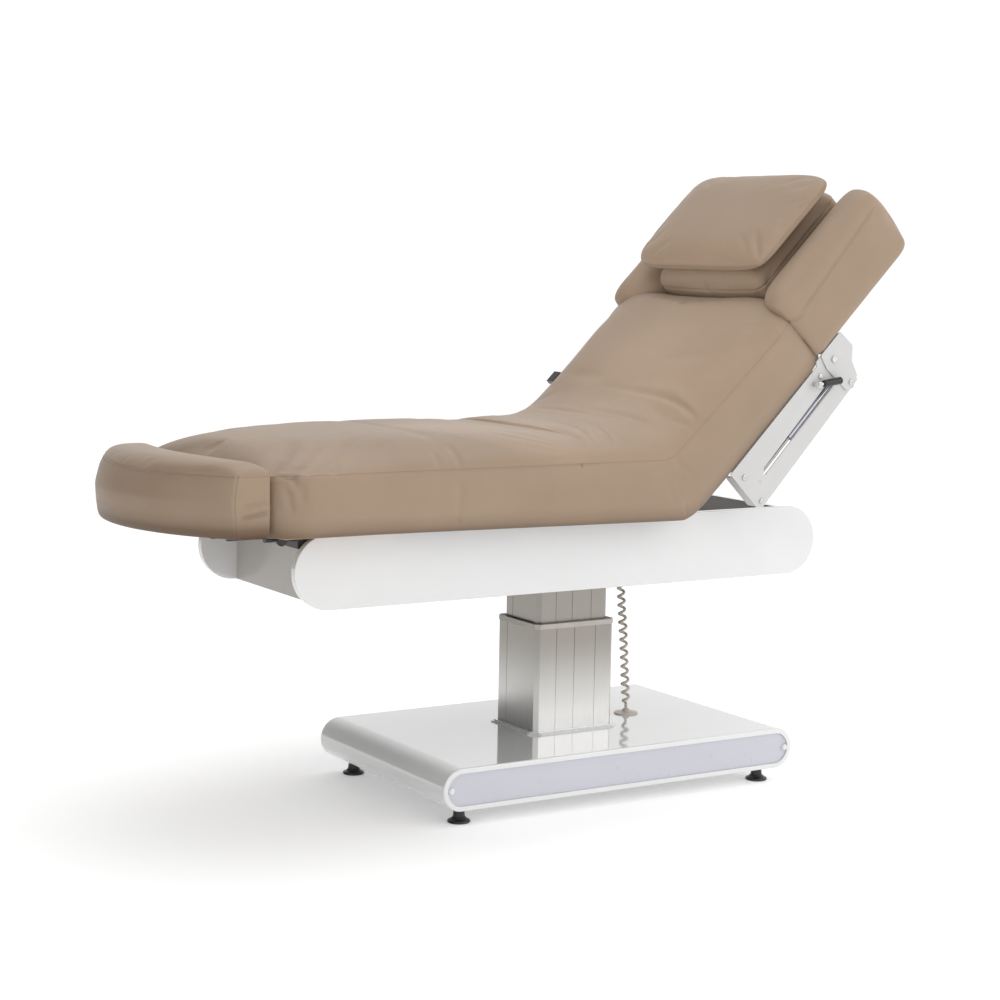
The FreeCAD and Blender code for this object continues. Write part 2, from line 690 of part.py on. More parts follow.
def make_side_plate(side):
    """Pressed plate with flanges, a long window for the gas spring, and bolt holes."""
    face = side * PLATE_FACE
    back = side * (PLATE_FACE - SHEET)
    deep = side * (PLATE_FACE - PLATE_DEPTH)
    outline = [(141, BOARD_W), (498, BOARD_W), (505, 25), (528, 25), (568, 4), (568, -100), (154, -114),
               (141, -102)]
    skin = plate(outline, back, face, 4.0)
    parts = [skin]
    parts.append(box(150, 485, deep, back, BOARD_W - SHEET, BOARD_W))
    parts.append(box(141, 141 + SHEET, deep, back, -98, 4))
    window = plate([(204, -62), (503, -57), (499, -38), (221, -47)], back - side, face + side, 3.0)
    holes = [window]
    for u, w in PLATE_BOLTS + [HEAD_PIVOT, LEVER_PIVOT, GAS_FOOT]:
        holes.append(cylinder_y(u, w, back - side, face + side, PIN_R))
    u, w = GAS_PIN
    holes.append(plate([(u - 38, w - 8), (u + 8, w - 8), (u + 8, w + 12), (u - 38, w + 12)],
                       back - side, face + side, 7.0))
    return tilted(fuse(parts).cut(group(holes)))


def domed_bolt(u, w, face, side, deep, head_r=7.0, shank=PIN_R):
    """Button-head bolt through a plate."""
    stem = cylinder_y(u, w, face - side * deep, face, shank)
    head = cylinder_y(u, w, face, face + side * 4, head_r)
    rim = [edge for edge in head.Edges if abs(edge.BoundBox.Center.y) > abs(face) + 3.9]
    return fuse([stem, head.makeFillet(2.5, rim)])


def make_plate_bolts():
    """Bolts of both side plates, the head pivots, the gas springs' lower pins and the lever's pin."""
    bolts = []
    for name, side in SIDES:
        face = side * PLATE_FACE
        for u, w in PLATE_BOLTS:
            bolts.append(domed_bolt(u, w, face, side, 8))
        bolts.append(cylinder_y(GAS_FOOT[0], GAS_FOOT[1], face - side * 28, face, PIN_R))
        pivot = cylinder_y(HEAD_PIVOT[0], HEAD_PIVOT[1], face - side * 9, face + side * 5.5, PIN_R)
        cap = cylinder_y(HEAD_PIVOT[0], HEAD_PIVOT[1], face + side * 4.5, face + side * 8, 7.5)
        bolts.append(fuse([pivot, cap]))
    u, w = LEVER_PIVOT
    pin = cylinder_y(u, w, -PLATE_FACE + 6, -PLATE_FACE - LEVER_OUT - 8, PIN_R)
    collar = cylinder_y(u, w, -PLATE_FACE, -PLATE_FACE - LEVER_OUT + 6, 6)
    bolts.append(fuse([pin, collar]))
    return tilted(group(bolts))


def gas_line():
    """Start, direction and length of the gas spring from its foot to its pin, in U and W."""
    du = GAS_PIN[0] - GAS_FOOT[0]
    dw = GAS_PIN[1] - GAS_FOOT[1]
    length = math.hypot(du, dw)
    return V(GAS_FOOT[0], 0, GAS_FOOT[1]), V(du / length, 0, dw / length), length


def make_gas_rod(side):
    """Thin rod of the gas spring, pinned to the side plate at its foot."""
    start, along, length = gas_line()
    lift = V(0, side * (PLATE_FACE - 18), 0)
    stem = rod(start + lift + along * 5, start + lift + along * 240, GAS_ROD_R)
    eye = cylinder_y(start.x, start.z, lift.y - 5, lift.y + 5, 10)
    hole = cylinder_y(start.x, start.z, lift.y - 6, lift.y + 6, PIN_R + RUN)
    return tilted(fuse([stem, eye]).cut(hole))


def make_gas_cylinder(side):
    """Cylinder of the gas spring, which runs down over the rod and hangs on the head plate's pin."""
    start, along, length = gas_line()
    lift = V(0, side * (PLATE_FACE - 18), 0)
    tube = rod(start + lift + along * 140, start + lift + along * (length - 12), GAS_TUBE_R)
    bore = rod(start + lift + along * 139, start + lift + along * 285, GAS_ROD_R + RUN)
    end = start + along * length
    wide = PIN_R + 1.0
    eye = plate([(end.x - 13, end.z - 13), (end.x + 13, end.z - 13), (end.x + 13, end.z + 17),
                 (end.x - 13, end.z + 17)], lift.y - 5, lift.y + 5, 6.0)
    slot = plate([(end.x - wide, end.z - wide - 1), (end.x + wide, end.z - wide - 1),
                  (end.x + wide, end.z + wide + 4.5), (end.x - wide, end.z + wide + 4.5)],
                 lift.y - 10, lift.y + 10, 5.0)
    return tilted(fuse([tube, eye]).cut(group([bore, slot])))


def lever_axis():
    """Direction of the release lever's arm, in U and W, and its length."""
    du = LEVER_TIP[0] - LEVER_PIVOT[0]
    dw = LEVER_TIP[1] - LEVER_PIVOT[1]
    length = math.hypot(du, dw)
    return V(du / length, 0, dw / length), length


def make_lever():
    """Chromed hub and stem of the release lever."""
    along, length = lever_axis()
    hub_y = -PLATE_FACE - LEVER_OUT + 5.5
    u, w = LEVER_PIVOT
    hub = cylinder_y(u, w, hub_y, hub_y - 11, 7.5)
    start = V(u, hub_y - 5.5, w)
    stem = rod(start + along * 6, start + along * (length - 12), 4)
    hole = cylinder_y(u, w, hub_y + 1, hub_y - 12, PIN_R + RUN)
    return tilted(fuse([hub, stem]).cut(hole))


def make_lever_grip():
    """Moulded grip pushed over the stem."""
    along, length = lever_axis()
    start = V(LEVER_PIVOT[0], -PLATE_FACE - LEVER_OUT, LEVER_PIVOT[1])
    grip = rod(start + along * 13, start + along * length, 9.0)
    ends = [edge for edge in grip.Edges if edge.Length > 40 and len(edge.Vertexes) == 1]
    grip = grip.makeFillet(5.0, ends)
    return tilted(grip.cut(rod(start + along * 12, start + along * (length - 12), 4)))


# ---------------------------------------------------------------- head section

def make_head_board():
    return tilted(box(HEAD_START, HEAD_END, -330, 330, HEAD_BOARD_LOW, HEAD_BOARD_LOW + BOARD))


def make_head_plate(side):
    """Waved plate that carries the head section and turns on the side plate."""
    inner = side * (PLATE_FACE + 0.5)
    outer = side * (PLATE_FACE + 4)
    outline = [(524, HEAD_BOARD_LOW), (606, HEAD_BOARD_LOW), (611, -24), (584, -50), (572, -88),
               (543, -103), (523, -93), (515, -8)]
    skin = plate(outline, inner, outer, 5.0)
    flange = box(530, 600, side * (PLATE_FACE - 30), outer, HEAD_BOARD_LOW - SHEET, HEAD_BOARD_LOW)
    u, w = GAS_PIN
    pin = cylinder_y(u, w, side * (PLATE_FACE - 26), outer, PIN_R)
    holes = [cylinder_y(HEAD_PIVOT[0], HEAD_PIVOT[1], inner - side, outer + side, PIN_R + RUN),
             cylinder_y(STOP_SCREW[0], STOP_SCREW[1], inner - side, outer + side, PIN_R)]
    return tilted(fuse([skin, flange, pin]).cut(group(holes)))


def make_stop_screw(side):
    """Button-head screw in the tail of the head plate."""
    outer = side * (PLATE_FACE + 4)
    return tilted(domed_bolt(STOP_SCREW[0], STOP_SCREW[1], outer, side, 3.5))


def make_wing(side):
    """Thick side bolster of the head section."""
    inner = side * WING_IN
    outer = side * HALF_BED
    low = HEAD_BOARD_LOW + BOARD
    solid = box(520, WING_END, inner, outer, low, WING_TOP)
    soft = [edge for edge in solid.Edges if edge.BoundBox.ZMin > low + 1 or edge.BoundBox.ZLength > 10]
    return tilted(solid.makeFillet(40, soft))


def make_head_cushion():
    low = HEAD_BOARD_LOW + BOARD
    pad = crowned(HEAD_CUSHION_START, HEAD_END, low, HEAD_CUSHION_TOP - 18, HEAD_CUSHION_TOP,
                  HEAD_CUSHION_HALF, 0.0)
    return tilted(pad)


def make_pillow():
    solid = box(585, 900, -270, 270, PILLOW_LOW + 26, PILLOW_TOP)
    lower = box(600, 885, -215, 215, PILLOW_LOW, PILLOW_LOW + 27)
    upright = [edge for edge in solid.Edges if edge.BoundBox.ZLength > 10]
    return tilted(fuse([solid.makeFillet(40, upright), lower]))


# ---------------------------------------------------------------- build

def build():
    os.makedirs("parts", exist_ok=True)
    save("base_shell", make_base_shell())
    save("light_panels", both_sides(make_light_panel))
    save("panel_caps", make_panel_caps())
    save("led_strips", both_sides(make_led_strip))
    save("base_chassis", make_chassis())
    for end, x in (("foot_end", -FOOT_X), ("head_end", FOOT_X)):
        for name, side in SIDES:
            save("levelling_foot_" + end + "_" + name, make_foot(x, side * FOOT_Y))
    save("column_outer", make_column_outer())
    save("column_collar", make_collar())
    save("column_foot_trim", make_foot_trim())
    save("lift_motor", make_lift_motor())
    save("cord_grommet", make_grommet())
    save("curly_cord", make_cord())

    save("column_inner", make_column_inner())
    save("lift_spindle", rod(V(COLUMN_X, 0, 247), V(COLUMN_X, 0, HEAD_PLATE_Z), SPINDLE_R))
    save("column_head_plate", box(COLUMN_X - 150, COLUMN_X + 150, -RAIL_Y - RAIL_HALF, RAIL_Y + RAIL_HALF,
                                  HEAD_PLATE_Z, SUBFRAME_LOW))
    save("subframe", make_subframe())
    for name, side in SIDES:
        save("side_panel_" + name, make_side_panel(side))
    save("foot_panel", make_cross_panel(FOOT_PANEL_X, FOOT_PANEL_TOP))
    save("head_panel", make_cross_panel(HEAD_PANEL_X, BOX_LOW + BOX_HEIGHT))
    save("seat_frame", make_seat_frame())
    save("hinge_pins", make_hinge_pins())
    save("seat_board", make_seat_board())
    save("mattress_seat", make_mattress_seat())
    save("control_box", box(-665, -560, -60, 60, SUBFRAME_LOW + FLAT, SUBFRAME_LOW + FLAT + 50))
    save("cord_gland", rod(CORD_TOP, V(CORD_TOP.x, CORD_TOP.y, SUBFRAME_LOW), 12))

    pin_x, pin_z = crank_pin(BACK_HINGE_X, BACK_ANGLE - BACK_MIDDLE, BACK_CRANK)
    rod_z = pin_z + 5
    save("back_actuator", make_actuator(-270.0, 50.0, rod_z, BACK_ACTUATOR_Y, SUBFRAME_LOW + FLAT,
                                        30.0, SUBFRAME_LOW))
    stem = rod(V(-160, BACK_ACTUATOR_Y, rod_z), V(pin_x - 27, BACK_ACTUATOR_Y, rod_z), 10.0)
    save("back_actuator_rod", fuse([stem, slotted_end(pin_x, rod_z, BACK_ACTUATOR_Y, 6.5, -30)]))
    pin_x, pin_z = crank_pin(LEG_HINGE_X, LEG_MAX / 2, LEG_CRANK)
    save("leg_actuator", make_actuator(-120.0, -400.0, pin_z, LEG_ACTUATOR_Y, SUBFRAME_LOW,
                                       -263.0, SUBFRAME_LOW + FLAT))
    stem = rod(V(-300, LEG_ACTUATOR_Y, pin_z), V(pin_x + 27, LEG_ACTUATOR_Y, pin_z), 10.0)
    save("leg_actuator_rod", fuse([stem, slotted_end(pin_x, pin_z, LEG_ACTUATOR_Y, 3.0, 30)]))

    save("leg_frame", make_leg_frame())
    save("leg_board", make_leg_board())
    save("mattress_leg", make_mattress_leg())
    save("rod_sockets", both_sides(make_rod_socket))
    for name, side in SIDES:
        save("clamp_knob_" + name, make_clamp_knob(side))
    save("foot_bolster", make_bolster())
    save("bolster_rods", make_bolster_rods())

    save("back_frame", make_back_frame())
    save("back_board", make_back_board())
    save("mattress_back", make_mattress_back())
    for name, side in SIDES:
        save("side_plate_" + name, make_side_plate(side))
    save("plate_bolts", make_plate_bolts())
    save("gas_cylinders", both_sides(make_gas_cylinder))
    save("gas_rods", both_sides(make_gas_rod))
    save("release_lever", make_lever())
    save("lever_grip", make_lever_grip())

    save("head_board", make_head_board())
    for name, side in SIDES:
        save("head_plate_" + name, make_head_plate(side))
        save("wing_" + name, make_wing(side))
    save("stop_screws", both_sides(make_stop_screw))
    save("head_cushion", make_head_cushion())
    save("pillow", make_pillow())


build()
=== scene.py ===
import bmesh
import bpy
import json
import math
import numpy as np
from mathutils import Matrix, Vector
from mathutils.bvhtree import BVHTree
from mathutils.kdtree import KDTree


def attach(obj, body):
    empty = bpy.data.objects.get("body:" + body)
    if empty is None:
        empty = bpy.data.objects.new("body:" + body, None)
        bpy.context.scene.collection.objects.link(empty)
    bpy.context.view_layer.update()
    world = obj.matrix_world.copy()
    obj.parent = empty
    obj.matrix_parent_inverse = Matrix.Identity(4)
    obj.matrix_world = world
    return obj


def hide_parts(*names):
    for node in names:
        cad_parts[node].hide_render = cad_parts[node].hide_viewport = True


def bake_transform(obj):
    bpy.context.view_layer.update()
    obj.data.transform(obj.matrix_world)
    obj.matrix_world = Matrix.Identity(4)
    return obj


# Facial treatment bed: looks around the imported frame.  Metres, +Z up, +X to the head end.
# Lengths in the tables below are in millimetres from the middle of the base; at() and up() turn
# them into the row's frame.  up() takes U along the backrest and W square to it.

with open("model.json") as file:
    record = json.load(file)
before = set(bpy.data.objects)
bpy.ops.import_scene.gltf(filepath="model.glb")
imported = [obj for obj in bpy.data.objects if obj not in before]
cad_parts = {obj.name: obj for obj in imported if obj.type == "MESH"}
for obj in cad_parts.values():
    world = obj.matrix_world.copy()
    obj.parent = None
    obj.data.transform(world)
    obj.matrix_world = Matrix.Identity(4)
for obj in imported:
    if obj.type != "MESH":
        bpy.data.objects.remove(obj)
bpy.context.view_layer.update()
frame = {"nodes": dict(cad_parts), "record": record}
BASE_X = 204.0
HINGE_X, HINGE_Z = 160, 670
C45 = math.cos(math.radians(45))


def at(x, y, z):
    """Points in the row's frame from millimetres about the middle of the base."""
    x, y, z = np.broadcast_arrays(*(np.asarray(v, float) for v in (x, y, z)))
    return np.stack([(x + BASE_X) / 1000, y / 1000, z / 1000], -1)


def up(u, y, w):
    """The same for the reclined sections."""
    u, y, w = np.broadcast_arrays(*(np.asarray(v, float) for v in (u, y, w)))
    return at(HINGE_X + (u - w) * C45, y, HINGE_Z + (u + w) * C45)


def link(obj):
    bpy.context.scene.collection.objects.link(obj)


# ---------------------------------------------------------------- camera

def make_camera():
    data = bpy.data.cameras.new("camera")
    data.lens = 77.57
    data.sensor_width = 36.0
    data.clip_end = 60
    cam = bpy.data.objects.new("camera", data)
    link(cam)
    right = Vector((0.850803, -0.525157, 0.018548))
    above = Vector((0.045244, 0.108374, 0.993080))
    back = -Vector((0.523534, 0.844076, -0.115965))
    turn = Matrix((right, above, back)).transposed().to_4x4()
    cam.matrix_world = Matrix.Translation(Vector(at(-2896.83, -4385.67, 1303.71))) @ turn
    bpy.context.scene.camera = cam


make_camera()


# ---------------------------------------------------------------- materials

MIX_A, MIX_B, MIX_COLOUR = 6, 7, 2  # the colour sockets of a Mix node


def new_material(name):
    m = bpy.data.materials.new(name)
    m.use_nodes = True
    tree = m.node_tree
    shader = tree.nodes["Principled BSDF"]
    return m, tree, shader


def add(tree, kind, **values):
    node = tree.nodes.new(kind)
    for key, value in values.items():
        if key in node.inputs.keys():
            node.inputs[key].default_value = value
        else:
            setattr(node, key, value)
    return node


def put(node, **values):
    """Set sockets by name, with _ for a space."""
    for key, value in values.items():
        node.inputs[key.replace("_", " ")].default_value = value


def noise(tree, scale, detail=4.0, rough=0.5, stretch=None):
    """Noise in object space; stretch scales the three directions."""
    place = tree.nodes.new("ShaderNodeTexCoord")
    source = place.outputs["Object"]
    if stretch:
        mapping = add(tree, "ShaderNodeMapping", Scale=stretch)
        tree.links.new(source, mapping.inputs["Vector"])
        source = mapping.outputs["Vector"]
    node = add(tree, "ShaderNodeTexNoise", Scale=scale, Detail=detail, Roughness=rough)
    tree.links.new(source, node.inputs["Vector"])
    return node.outputs["Fac"]


def ramp(tree, factor, stops):
    node = tree.nodes.new("ShaderNodeValToRGB")
    elements = node.color_ramp.elements
    while len(elements) < len(stops):
        elements.new(0.5)
    for element, (place, colour) in zip(elements, stops):
        element.position = place
        element.color = (*colour, 1)
    tree.links.new(factor, node.inputs["Fac"])
    return node.outputs["Color"]


def span(tree, factor, low, high):
    node = add(tree, "ShaderNodeMapRange")
    put(node, To_Min=low, To_Max=high)
    tree.links.new(factor, node.inputs["Value"])
    return node.outputs["Result"]


def bump(tree, shader, heights):
    """Chain of bumps: (height output, strength, distance)."""
    last = None
    for height, strength, distance in heights:
        node = add(tree, "ShaderNodeBump", Strength=strength, Distance=distance)
        tree.links.new(height, node.inputs["Height"])
        if last:
            tree.links.new(last, node.inputs["Normal"])
        last = node.outputs["Normal"]
    tree.links.new(last, shader.inputs["Normal"])


def multiply(tree, shader, colour, shade):
    """Base colour from a colour times a shade."""
    mix = add(tree, "ShaderNodeMix", data_type="RGBA", blend_type="MULTIPLY")
    mix.inputs["Factor"].default_value = 1.0
    tree.links.new(colour, mix.inputs[MIX_A])
    tree.links.new(shade, mix.inputs[MIX_B])
    tree.links.new(mix.outputs[MIX_COLOUR], shader.inputs["Base Color"])


def paint(tree, shader, colour, rough):
    tree.links.new(colour, shader.inputs["Base Color"])
    tree.links.new(rough, shader.inputs["Roughness"])


def leatherette(name, light, dark):
    """Coated fabric: fine pebble grain, faint mottling, a soft sheen, and painted shade: darker towards the
    bottom edges, where shade falls under the cushions.
    """
    m, tree, shader = new_material(name)
    broad = noise(tree, 5.0, 3.0)
    colour = ramp(tree, broad, [(0.3, dark), (0.7, light)])
    # Painted shade: this ramp darkens the cover towards its bottom edges, standing for the shade under the
    # cushions.
    low = add(tree, "ShaderNodeAttribute", attribute_name="painted_low_shade")
    shade = ramp(tree, low.outputs["Fac"], [(0.0, (1.0, 1.0, 1.0)), (0.25, (0.80, 0.78, 0.75)),
                                            (0.5, (0.52, 0.47, 0.42)), (1.0, (0.26, 0.18, 0.12))])
    multiply(tree, shader, colour, shade)
    tree.links.new(span(tree, noise(tree, 60.0, 3.0), 0.44, 0.56), shader.inputs["Roughness"])
    place = tree.nodes.new("ShaderNodeTexCoord")
    grain = add(tree, "ShaderNodeTexVoronoi", Scale=950.0)
    tree.links.new(place.outputs["Object"], grain.inputs["Vector"])
    bump(tree, shader, [(grain.outputs["Distance"], 0.10, 0.0004), (noise(tree, 26.0, 3.0), 0.16, 0.002)])
    put(shader, Specular_IOR_Level=0.32, Sheen_Weight=0.08, Sheen_Roughness=0.5)
    return m


def lacquer(name, colour, rough, coat):
    """Gloss paint or gel coat with a trace of orange peel."""
    m, tree, shader = new_material(name)
    tint = ramp(tree, noise(tree, 9.0, 3.0), [(0.25, [c * 0.97 for c in colour]), (0.75, colour)])
    paint(tree, shader, tint, span(tree, noise(tree, 40.0, 4.0), rough * 0.8, rough * 1.35))
    put(shader, Coat_Weight=coat, Coat_Roughness=0.04)
    bump(tree, shader, [(noise(tree, 45.0, 2.0), 0.012, 0.001)])
    return m


def metal(name, colour, rough, stretch=(1, 1, 1), scale=80.0, metallic=1.0):
    """Metal with brushing that runs across the stretched direction."""
    m, tree, shader = new_material(name)
    lines = noise(tree, scale, 5.0, 0.6, stretch)
    tint = ramp(tree, lines, [(0.3, [c * 0.93 for c in colour]), (0.7, colour)])
    paint(tree, shader, tint, span(tree, lines, rough * 0.8, rough * 1.2))
    put(shader, Metallic=metallic)
    bump(tree, shader, [(lines, 0.05, 0.0004)])
    return m


def plastic(name, colour, rough):
    """Moulded plastic or thread with a fine grain."""
    m, tree, shader = new_material(name)
    tint = ramp(tree, noise(tree, 30.0, 3.0), [(0.3, [c * 0.85 for c in colour]), (0.7, colour)])
    paint(tree, shader, tint, span(tree, noise(tree, 120.0, 3.0), rough * 0.85, rough * 1.15))
    bump(tree, shader, [(noise(tree, 700.0, 2.0), 0.05, 0.0004)])
    return m


def plywood(name):
    m, tree, shader = new_material(name)
    grain = noise(tree, 6.0, 6.0, 0.6, (1.5, 18, 30))
    tint = ramp(tree, grain, [(0.3, (0.30, 0.19, 0.10)), (0.7, (0.48, 0.33, 0.19))])
    tree.links.new(tint, shader.inputs["Base Color"])
    put(shader, Roughness=0.7)
    bump(tree, shader, [(grain, 0.1, 0.001)])
    return m


def paint_height_shade(material, low, high, dark):
    """Painted shade: the colour darkens with height between two levels, standing for the shade on the upper
    column under the bed.
    """
    tree = material.node_tree
    shader = tree.nodes["Principled BSDF"]
    place = tree.nodes.new("ShaderNodeTexCoord")
    split = tree.nodes.new("ShaderNodeSeparateXYZ")
    tree.links.new(place.outputs["Object"], split.inputs["Vector"])
    level = add(tree, "ShaderNodeMapRange", interpolation_type="SMOOTHSTEP")
    put(level, From_Min=low, From_Max=high)
    tree.links.new(split.outputs["Z"], level.inputs["Value"])
    painted_shade = ramp(tree, level.outputs["Result"], [(0.0, (1.0, 1.0, 1.0)), (1.0, dark)])
    multiply(tree, shader, shader.inputs["Base Color"].links[0].from_socket, painted_shade)


TAN = leatherette("leatherette", (0.330, 0.238, 0.166), (0.300, 0.215, 0.148))
THREAD = plastic("thread", (0.235, 0.165, 0.110), 0.7)
WHITE = lacquer("gloss_white", (0.72, 0.72, 0.72), 0.10, 1.0)
# Painted shade: a darker grey than the white panels, given to the foot panel to stand for the shade it lies
# in under the foot of the mattress.
FOOT_PANEL_SHADE_PAINT = lacquer("foot_panel_painted_shade", (0.43, 0.41, 0.385), 0.30, 0.3)
PLATE = lacquer("white_powder_coat", (0.56, 0.555, 0.55), 0.3, 0.15)
LIGHT = lacquer("light_panel", (0.540, 0.540, 0.600), 0.28, 0.2)
LED = plastic("led", (0.85, 0.85, 0.8), 0.4)
ALUMINIUM = metal("brushed_aluminium", (0.74, 0.735, 0.72), 0.30, (30, 30, 0.6), 14.0)
# Painted shade on the column: darker towards its top, where it stands in the bed's shade.
paint_height_shade(ALUMINIUM, 0.14, 0.38, (0.42, 0.40, 0.37))
COLLAR = plastic("collar", (0.54, 0.50, 0.45), 0.5)
BLACK_STEEL = plastic("black_steel", (0.016, 0.016, 0.017), 0.38)
MOTOR = plastic("motor_grey", (0.10, 0.10, 0.11), 0.5)
STEEL = metal("bright_steel", (0.62, 0.61, 0.60), 0.18)
GAS = metal("gas_cylinder_paint", (0.50, 0.50, 0.55), 0.22, metallic=0.85)
PLY = plywood("plywood")
BLACK = plastic("black_plastic", (0.014, 0.014, 0.015), 0.32)
CORD = plastic("cord_jacket", (0.60, 0.55, 0.48), 0.34)
CHROME = metal("chrome", (0.78, 0.78, 0.78), 0.07)

SLOTS = {
    "gloss_white": WHITE, "white_metal": PLATE, "light_panel": LIGHT, "led": LED, "aluminium": ALUMINIUM,
    "collar_plastic": COLLAR, "frame_black": BLACK_STEEL, "socket_steel": BLACK_STEEL, "motor_grey": MOTOR,
    "bright_steel": STEEL, "gas_grey": GAS, "plywood": PLY, "black_plastic": BLACK, "cord_white": CORD,
    "chrome": CHROME, "leatherette": TAN,
}
for part in frame["record"]["subparts"]:
    mesh = frame["nodes"][part["node"]].data
    mesh.materials.clear()
    # The foot panel takes the grey painted-shade paint.
    mesh.materials.append(FOOT_PANEL_SHADE_PAINT if part["node"] == "foot_panel" else SLOTS[part["material_slot"]])


# ---------------------------------------------------------------- mesh tools

SEAM_ROWS = [2.2, 4.6, 8.0]  # distance of the extra rows beside a seam
STITCH_OFFSET = -0.0036  # stitches' distance from their seam
CLOTH_FRAMES = 18
CLOTH_STIFFNESS = 20.0
CLOTH_PRESSURE = 3.0


def make_object(name, verts, faces, material, smooth=True):
    mesh = bpy.data.meshes.new(name)
    mesh.from_pydata([tuple(v) for v in verts], [], [tuple(f) for f in faces])
    mesh.validate()
    mesh.update()
    obj = bpy.data.objects.new(name, mesh)
    link(obj)
    mesh.materials.append(material)
    if smooth:
        mesh.shade_smooth()
    return obj


def outward(obj):
    """Make every face look outward."""
    bm = bmesh.new()
    bm.from_mesh(obj.data)
    bmesh.ops.recalc_face_normals(bm, faces=bm.faces)
    bm.to_mesh(obj.data)
    bm.free()
    obj.data.update()


def read(items, name):
    """A vector property of every item, one row each."""
    values = np.empty(len(items) * 3)
    items.foreach_get(name, values)
    return values.reshape(-1, 3)


def coords(obj):
    return read(obj.data.vertices, "co")


def set_coords(obj, co):
    obj.data.vertices.foreach_set("co", np.ascontiguousarray(co).reshape(-1))
    obj.data.update()


def normals(obj):
    return read(obj.data.vertex_normals, "vector")


def unit(vectors):
    return vectors / np.linalg.norm(vectors, axis=-1, keepdims=True)


def length_of(points):
    return np.linalg.norm(np.diff(points, axis=0), axis=1).sum()


def kd_tree(points):
    tree = KDTree(len(points))
    for i, p in enumerate(points):
        tree.insert(p, i)
    tree.balance()
    return tree


def within(co, line, margin):
    """Numbers of the points in a line's box, grown by a margin."""
    return np.nonzero(((co > line.min(0) - margin) & (co < line.max(0) + margin)).all(1))[0]


def along(points, fractions):
    """Points at given shares of a polyline's length."""
    points = np.asarray(points, float)
    steps = np.linalg.norm(np.diff(points, axis=0), axis=1)
    length = np.concatenate([[0], np.cumsum(steps)])
    want = np.asarray(fractions) * length[-1]
    return np.stack([np.interp(want, length, points[:, i]) for i in range(points.shape[1])], -1)


def shares(length, step, fine_low=False, fine_high=False):
    """Shares from 0 to 1 in even steps, with extra rows beside a seam at either end."""
    low = [0.0] + (SEAM_ROWS if fine_low else [])
    high = [length] + ([length - e for e in SEAM_ROWS] if fine_high else [])
    a = low[-1]
    b = min(high)
    count = max(2, int(round((b - a) / step)))
    middle = list(np.linspace(a, b, count + 1))[1:-1]
    return np.array(sorted(low + middle + high)) / length


class Pad:
    """Closed cushion mesh: loops of bottom, far side, top and near side, with a grid at each end.
    tb and th are the shares of the rows across the bottom or top and up a side; bulge swells the two ends,
    and the last argument is how far painted shade reaches up the cover from the bottom, standing for the
    shade under the cushion."""

    def __init__(self, name, loops, tb, th, bulge=(0.0, 0.0), painted_low_shade=0.0):
        self.nb = len(tb) - 1
        self.nh = len(th) - 1
        count, ring = loops.shape[:2]
        verts = [loops.reshape(-1, 3)]
        faces = []
        k = np.arange(ring)
        for i in range(count - 1):
            a = i * ring + k
            b = i * ring + (k + 1) % ring
            faces.append(np.stack([a, b, b + ring, a + ring], -1))
        total = count * ring
        nb, nh = self.nb, self.nh
        for end, i in enumerate((0, count - 1)):
            loop = loops[i]
            bottom = loop[:nb + 1]
            top = loop[2 * nb + nh - np.arange(nb + 1)]
            near = loop[(ring - np.arange(nh + 1)) % ring]
            far = loop[nb + np.arange(nh + 1)]
            u = tb[:, None, None]
            v = th[None, :, None]
            grid = (1 - v) * bottom[:, None] + v * top[:, None] + (1 - u) * near[None] + u * far[None]
            grid -= (1 - u) * (1 - v) * bottom[0] + u * (1 - v) * bottom[-1]
            grid -= (1 - u) * v * top[0] + u * v * top[-1]
            inward = unit(loops[1 if end == 0 else count - 2].mean(0) - loop.mean(0))
            swell = bulge[end] * (4 * u * (1 - u)) ** 0.6 * (4 * v * (1 - v)) ** 0.6
            grid = grid - inward * swell
            ids = np.empty((nb + 1, nh + 1), int)
            ids[:, 0] = i * ring + np.arange(nb + 1)
            ids[:, nh] = i * ring + 2 * nb + nh - np.arange(nb + 1)
            ids[0, :] = i * ring + (ring - np.arange(nh + 1)) % ring
            ids[nb, :] = i * ring + nb + np.arange(nh + 1)
            inner = (nb - 1) * (nh - 1)
            ids[1:nb, 1:nh] = total + np.arange(inner).reshape(nb - 1, nh - 1)
            verts.append(grid[1:nb, 1:nh].reshape(-1, 3))
            total += inner
            quads = np.stack([ids[:-1, :-1], ids[1:, :-1], ids[1:, 1:], ids[:-1, 1:]], -1)
            faces.append(quads.reshape(-1, 4))
        self.obj = make_object(name, np.concatenate(verts), np.concatenate(faces), TAN)
        outward(self.obj)
        self.ring = ring
        self.count = count
        if painted_low_shade:
            self.paint_low_shade(painted_low_shade)

    def paint_low_shade(self, reach):
        """Mark how close each vertex lies to the bottom panel; the cover is drawn darker there, as painted
        shade for the shade under the cushion.
        """
        co = coords(self.obj)
        tree = kd_tree(co[[i * self.ring + k for i in range(self.count) for k in range(self.nb + 1)]])
        distance = np.array([tree.find(p)[2] for p in co])
        attribute = self.obj.data.attributes.new("painted_low_shade", "FLOAT", "POINT")
        attribute.data.foreach_set("value", np.clip(1 - distance / reach, 0, 1) ** 1.6)

    def row(self, k, first=0, last=None):
        """Vertex numbers of one row along the cushion."""
        last = self.count - 1 if last is None else last
        return [i * self.ring + k % self.ring for i in range(first, last + 1)]

    def ring_part(self, i, k0, k1):
        """Vertex numbers of part of one loop."""
        return [i * self.ring + k % self.ring for k in range(k0, k1 + 1)]

    def held(self, loose, sewn, seams, extra=0):
        """Pin weights: loose, tacked along the bottom and some extra rows, sewn along the seams."""
        weights = np.full(len(self.obj.data.vertices), loose)
        for k in range(-extra, self.nb + 1 + extra):
            weights[self.row(k)] = 1.0
        for k in seams:
            weights[self.row(k)] = sewn
        return weights

    @property
    def seam_far(self):
        return self.nb + self.nh

    @property
    def seam_near(self):
        return 2 * self.nb + self.nh


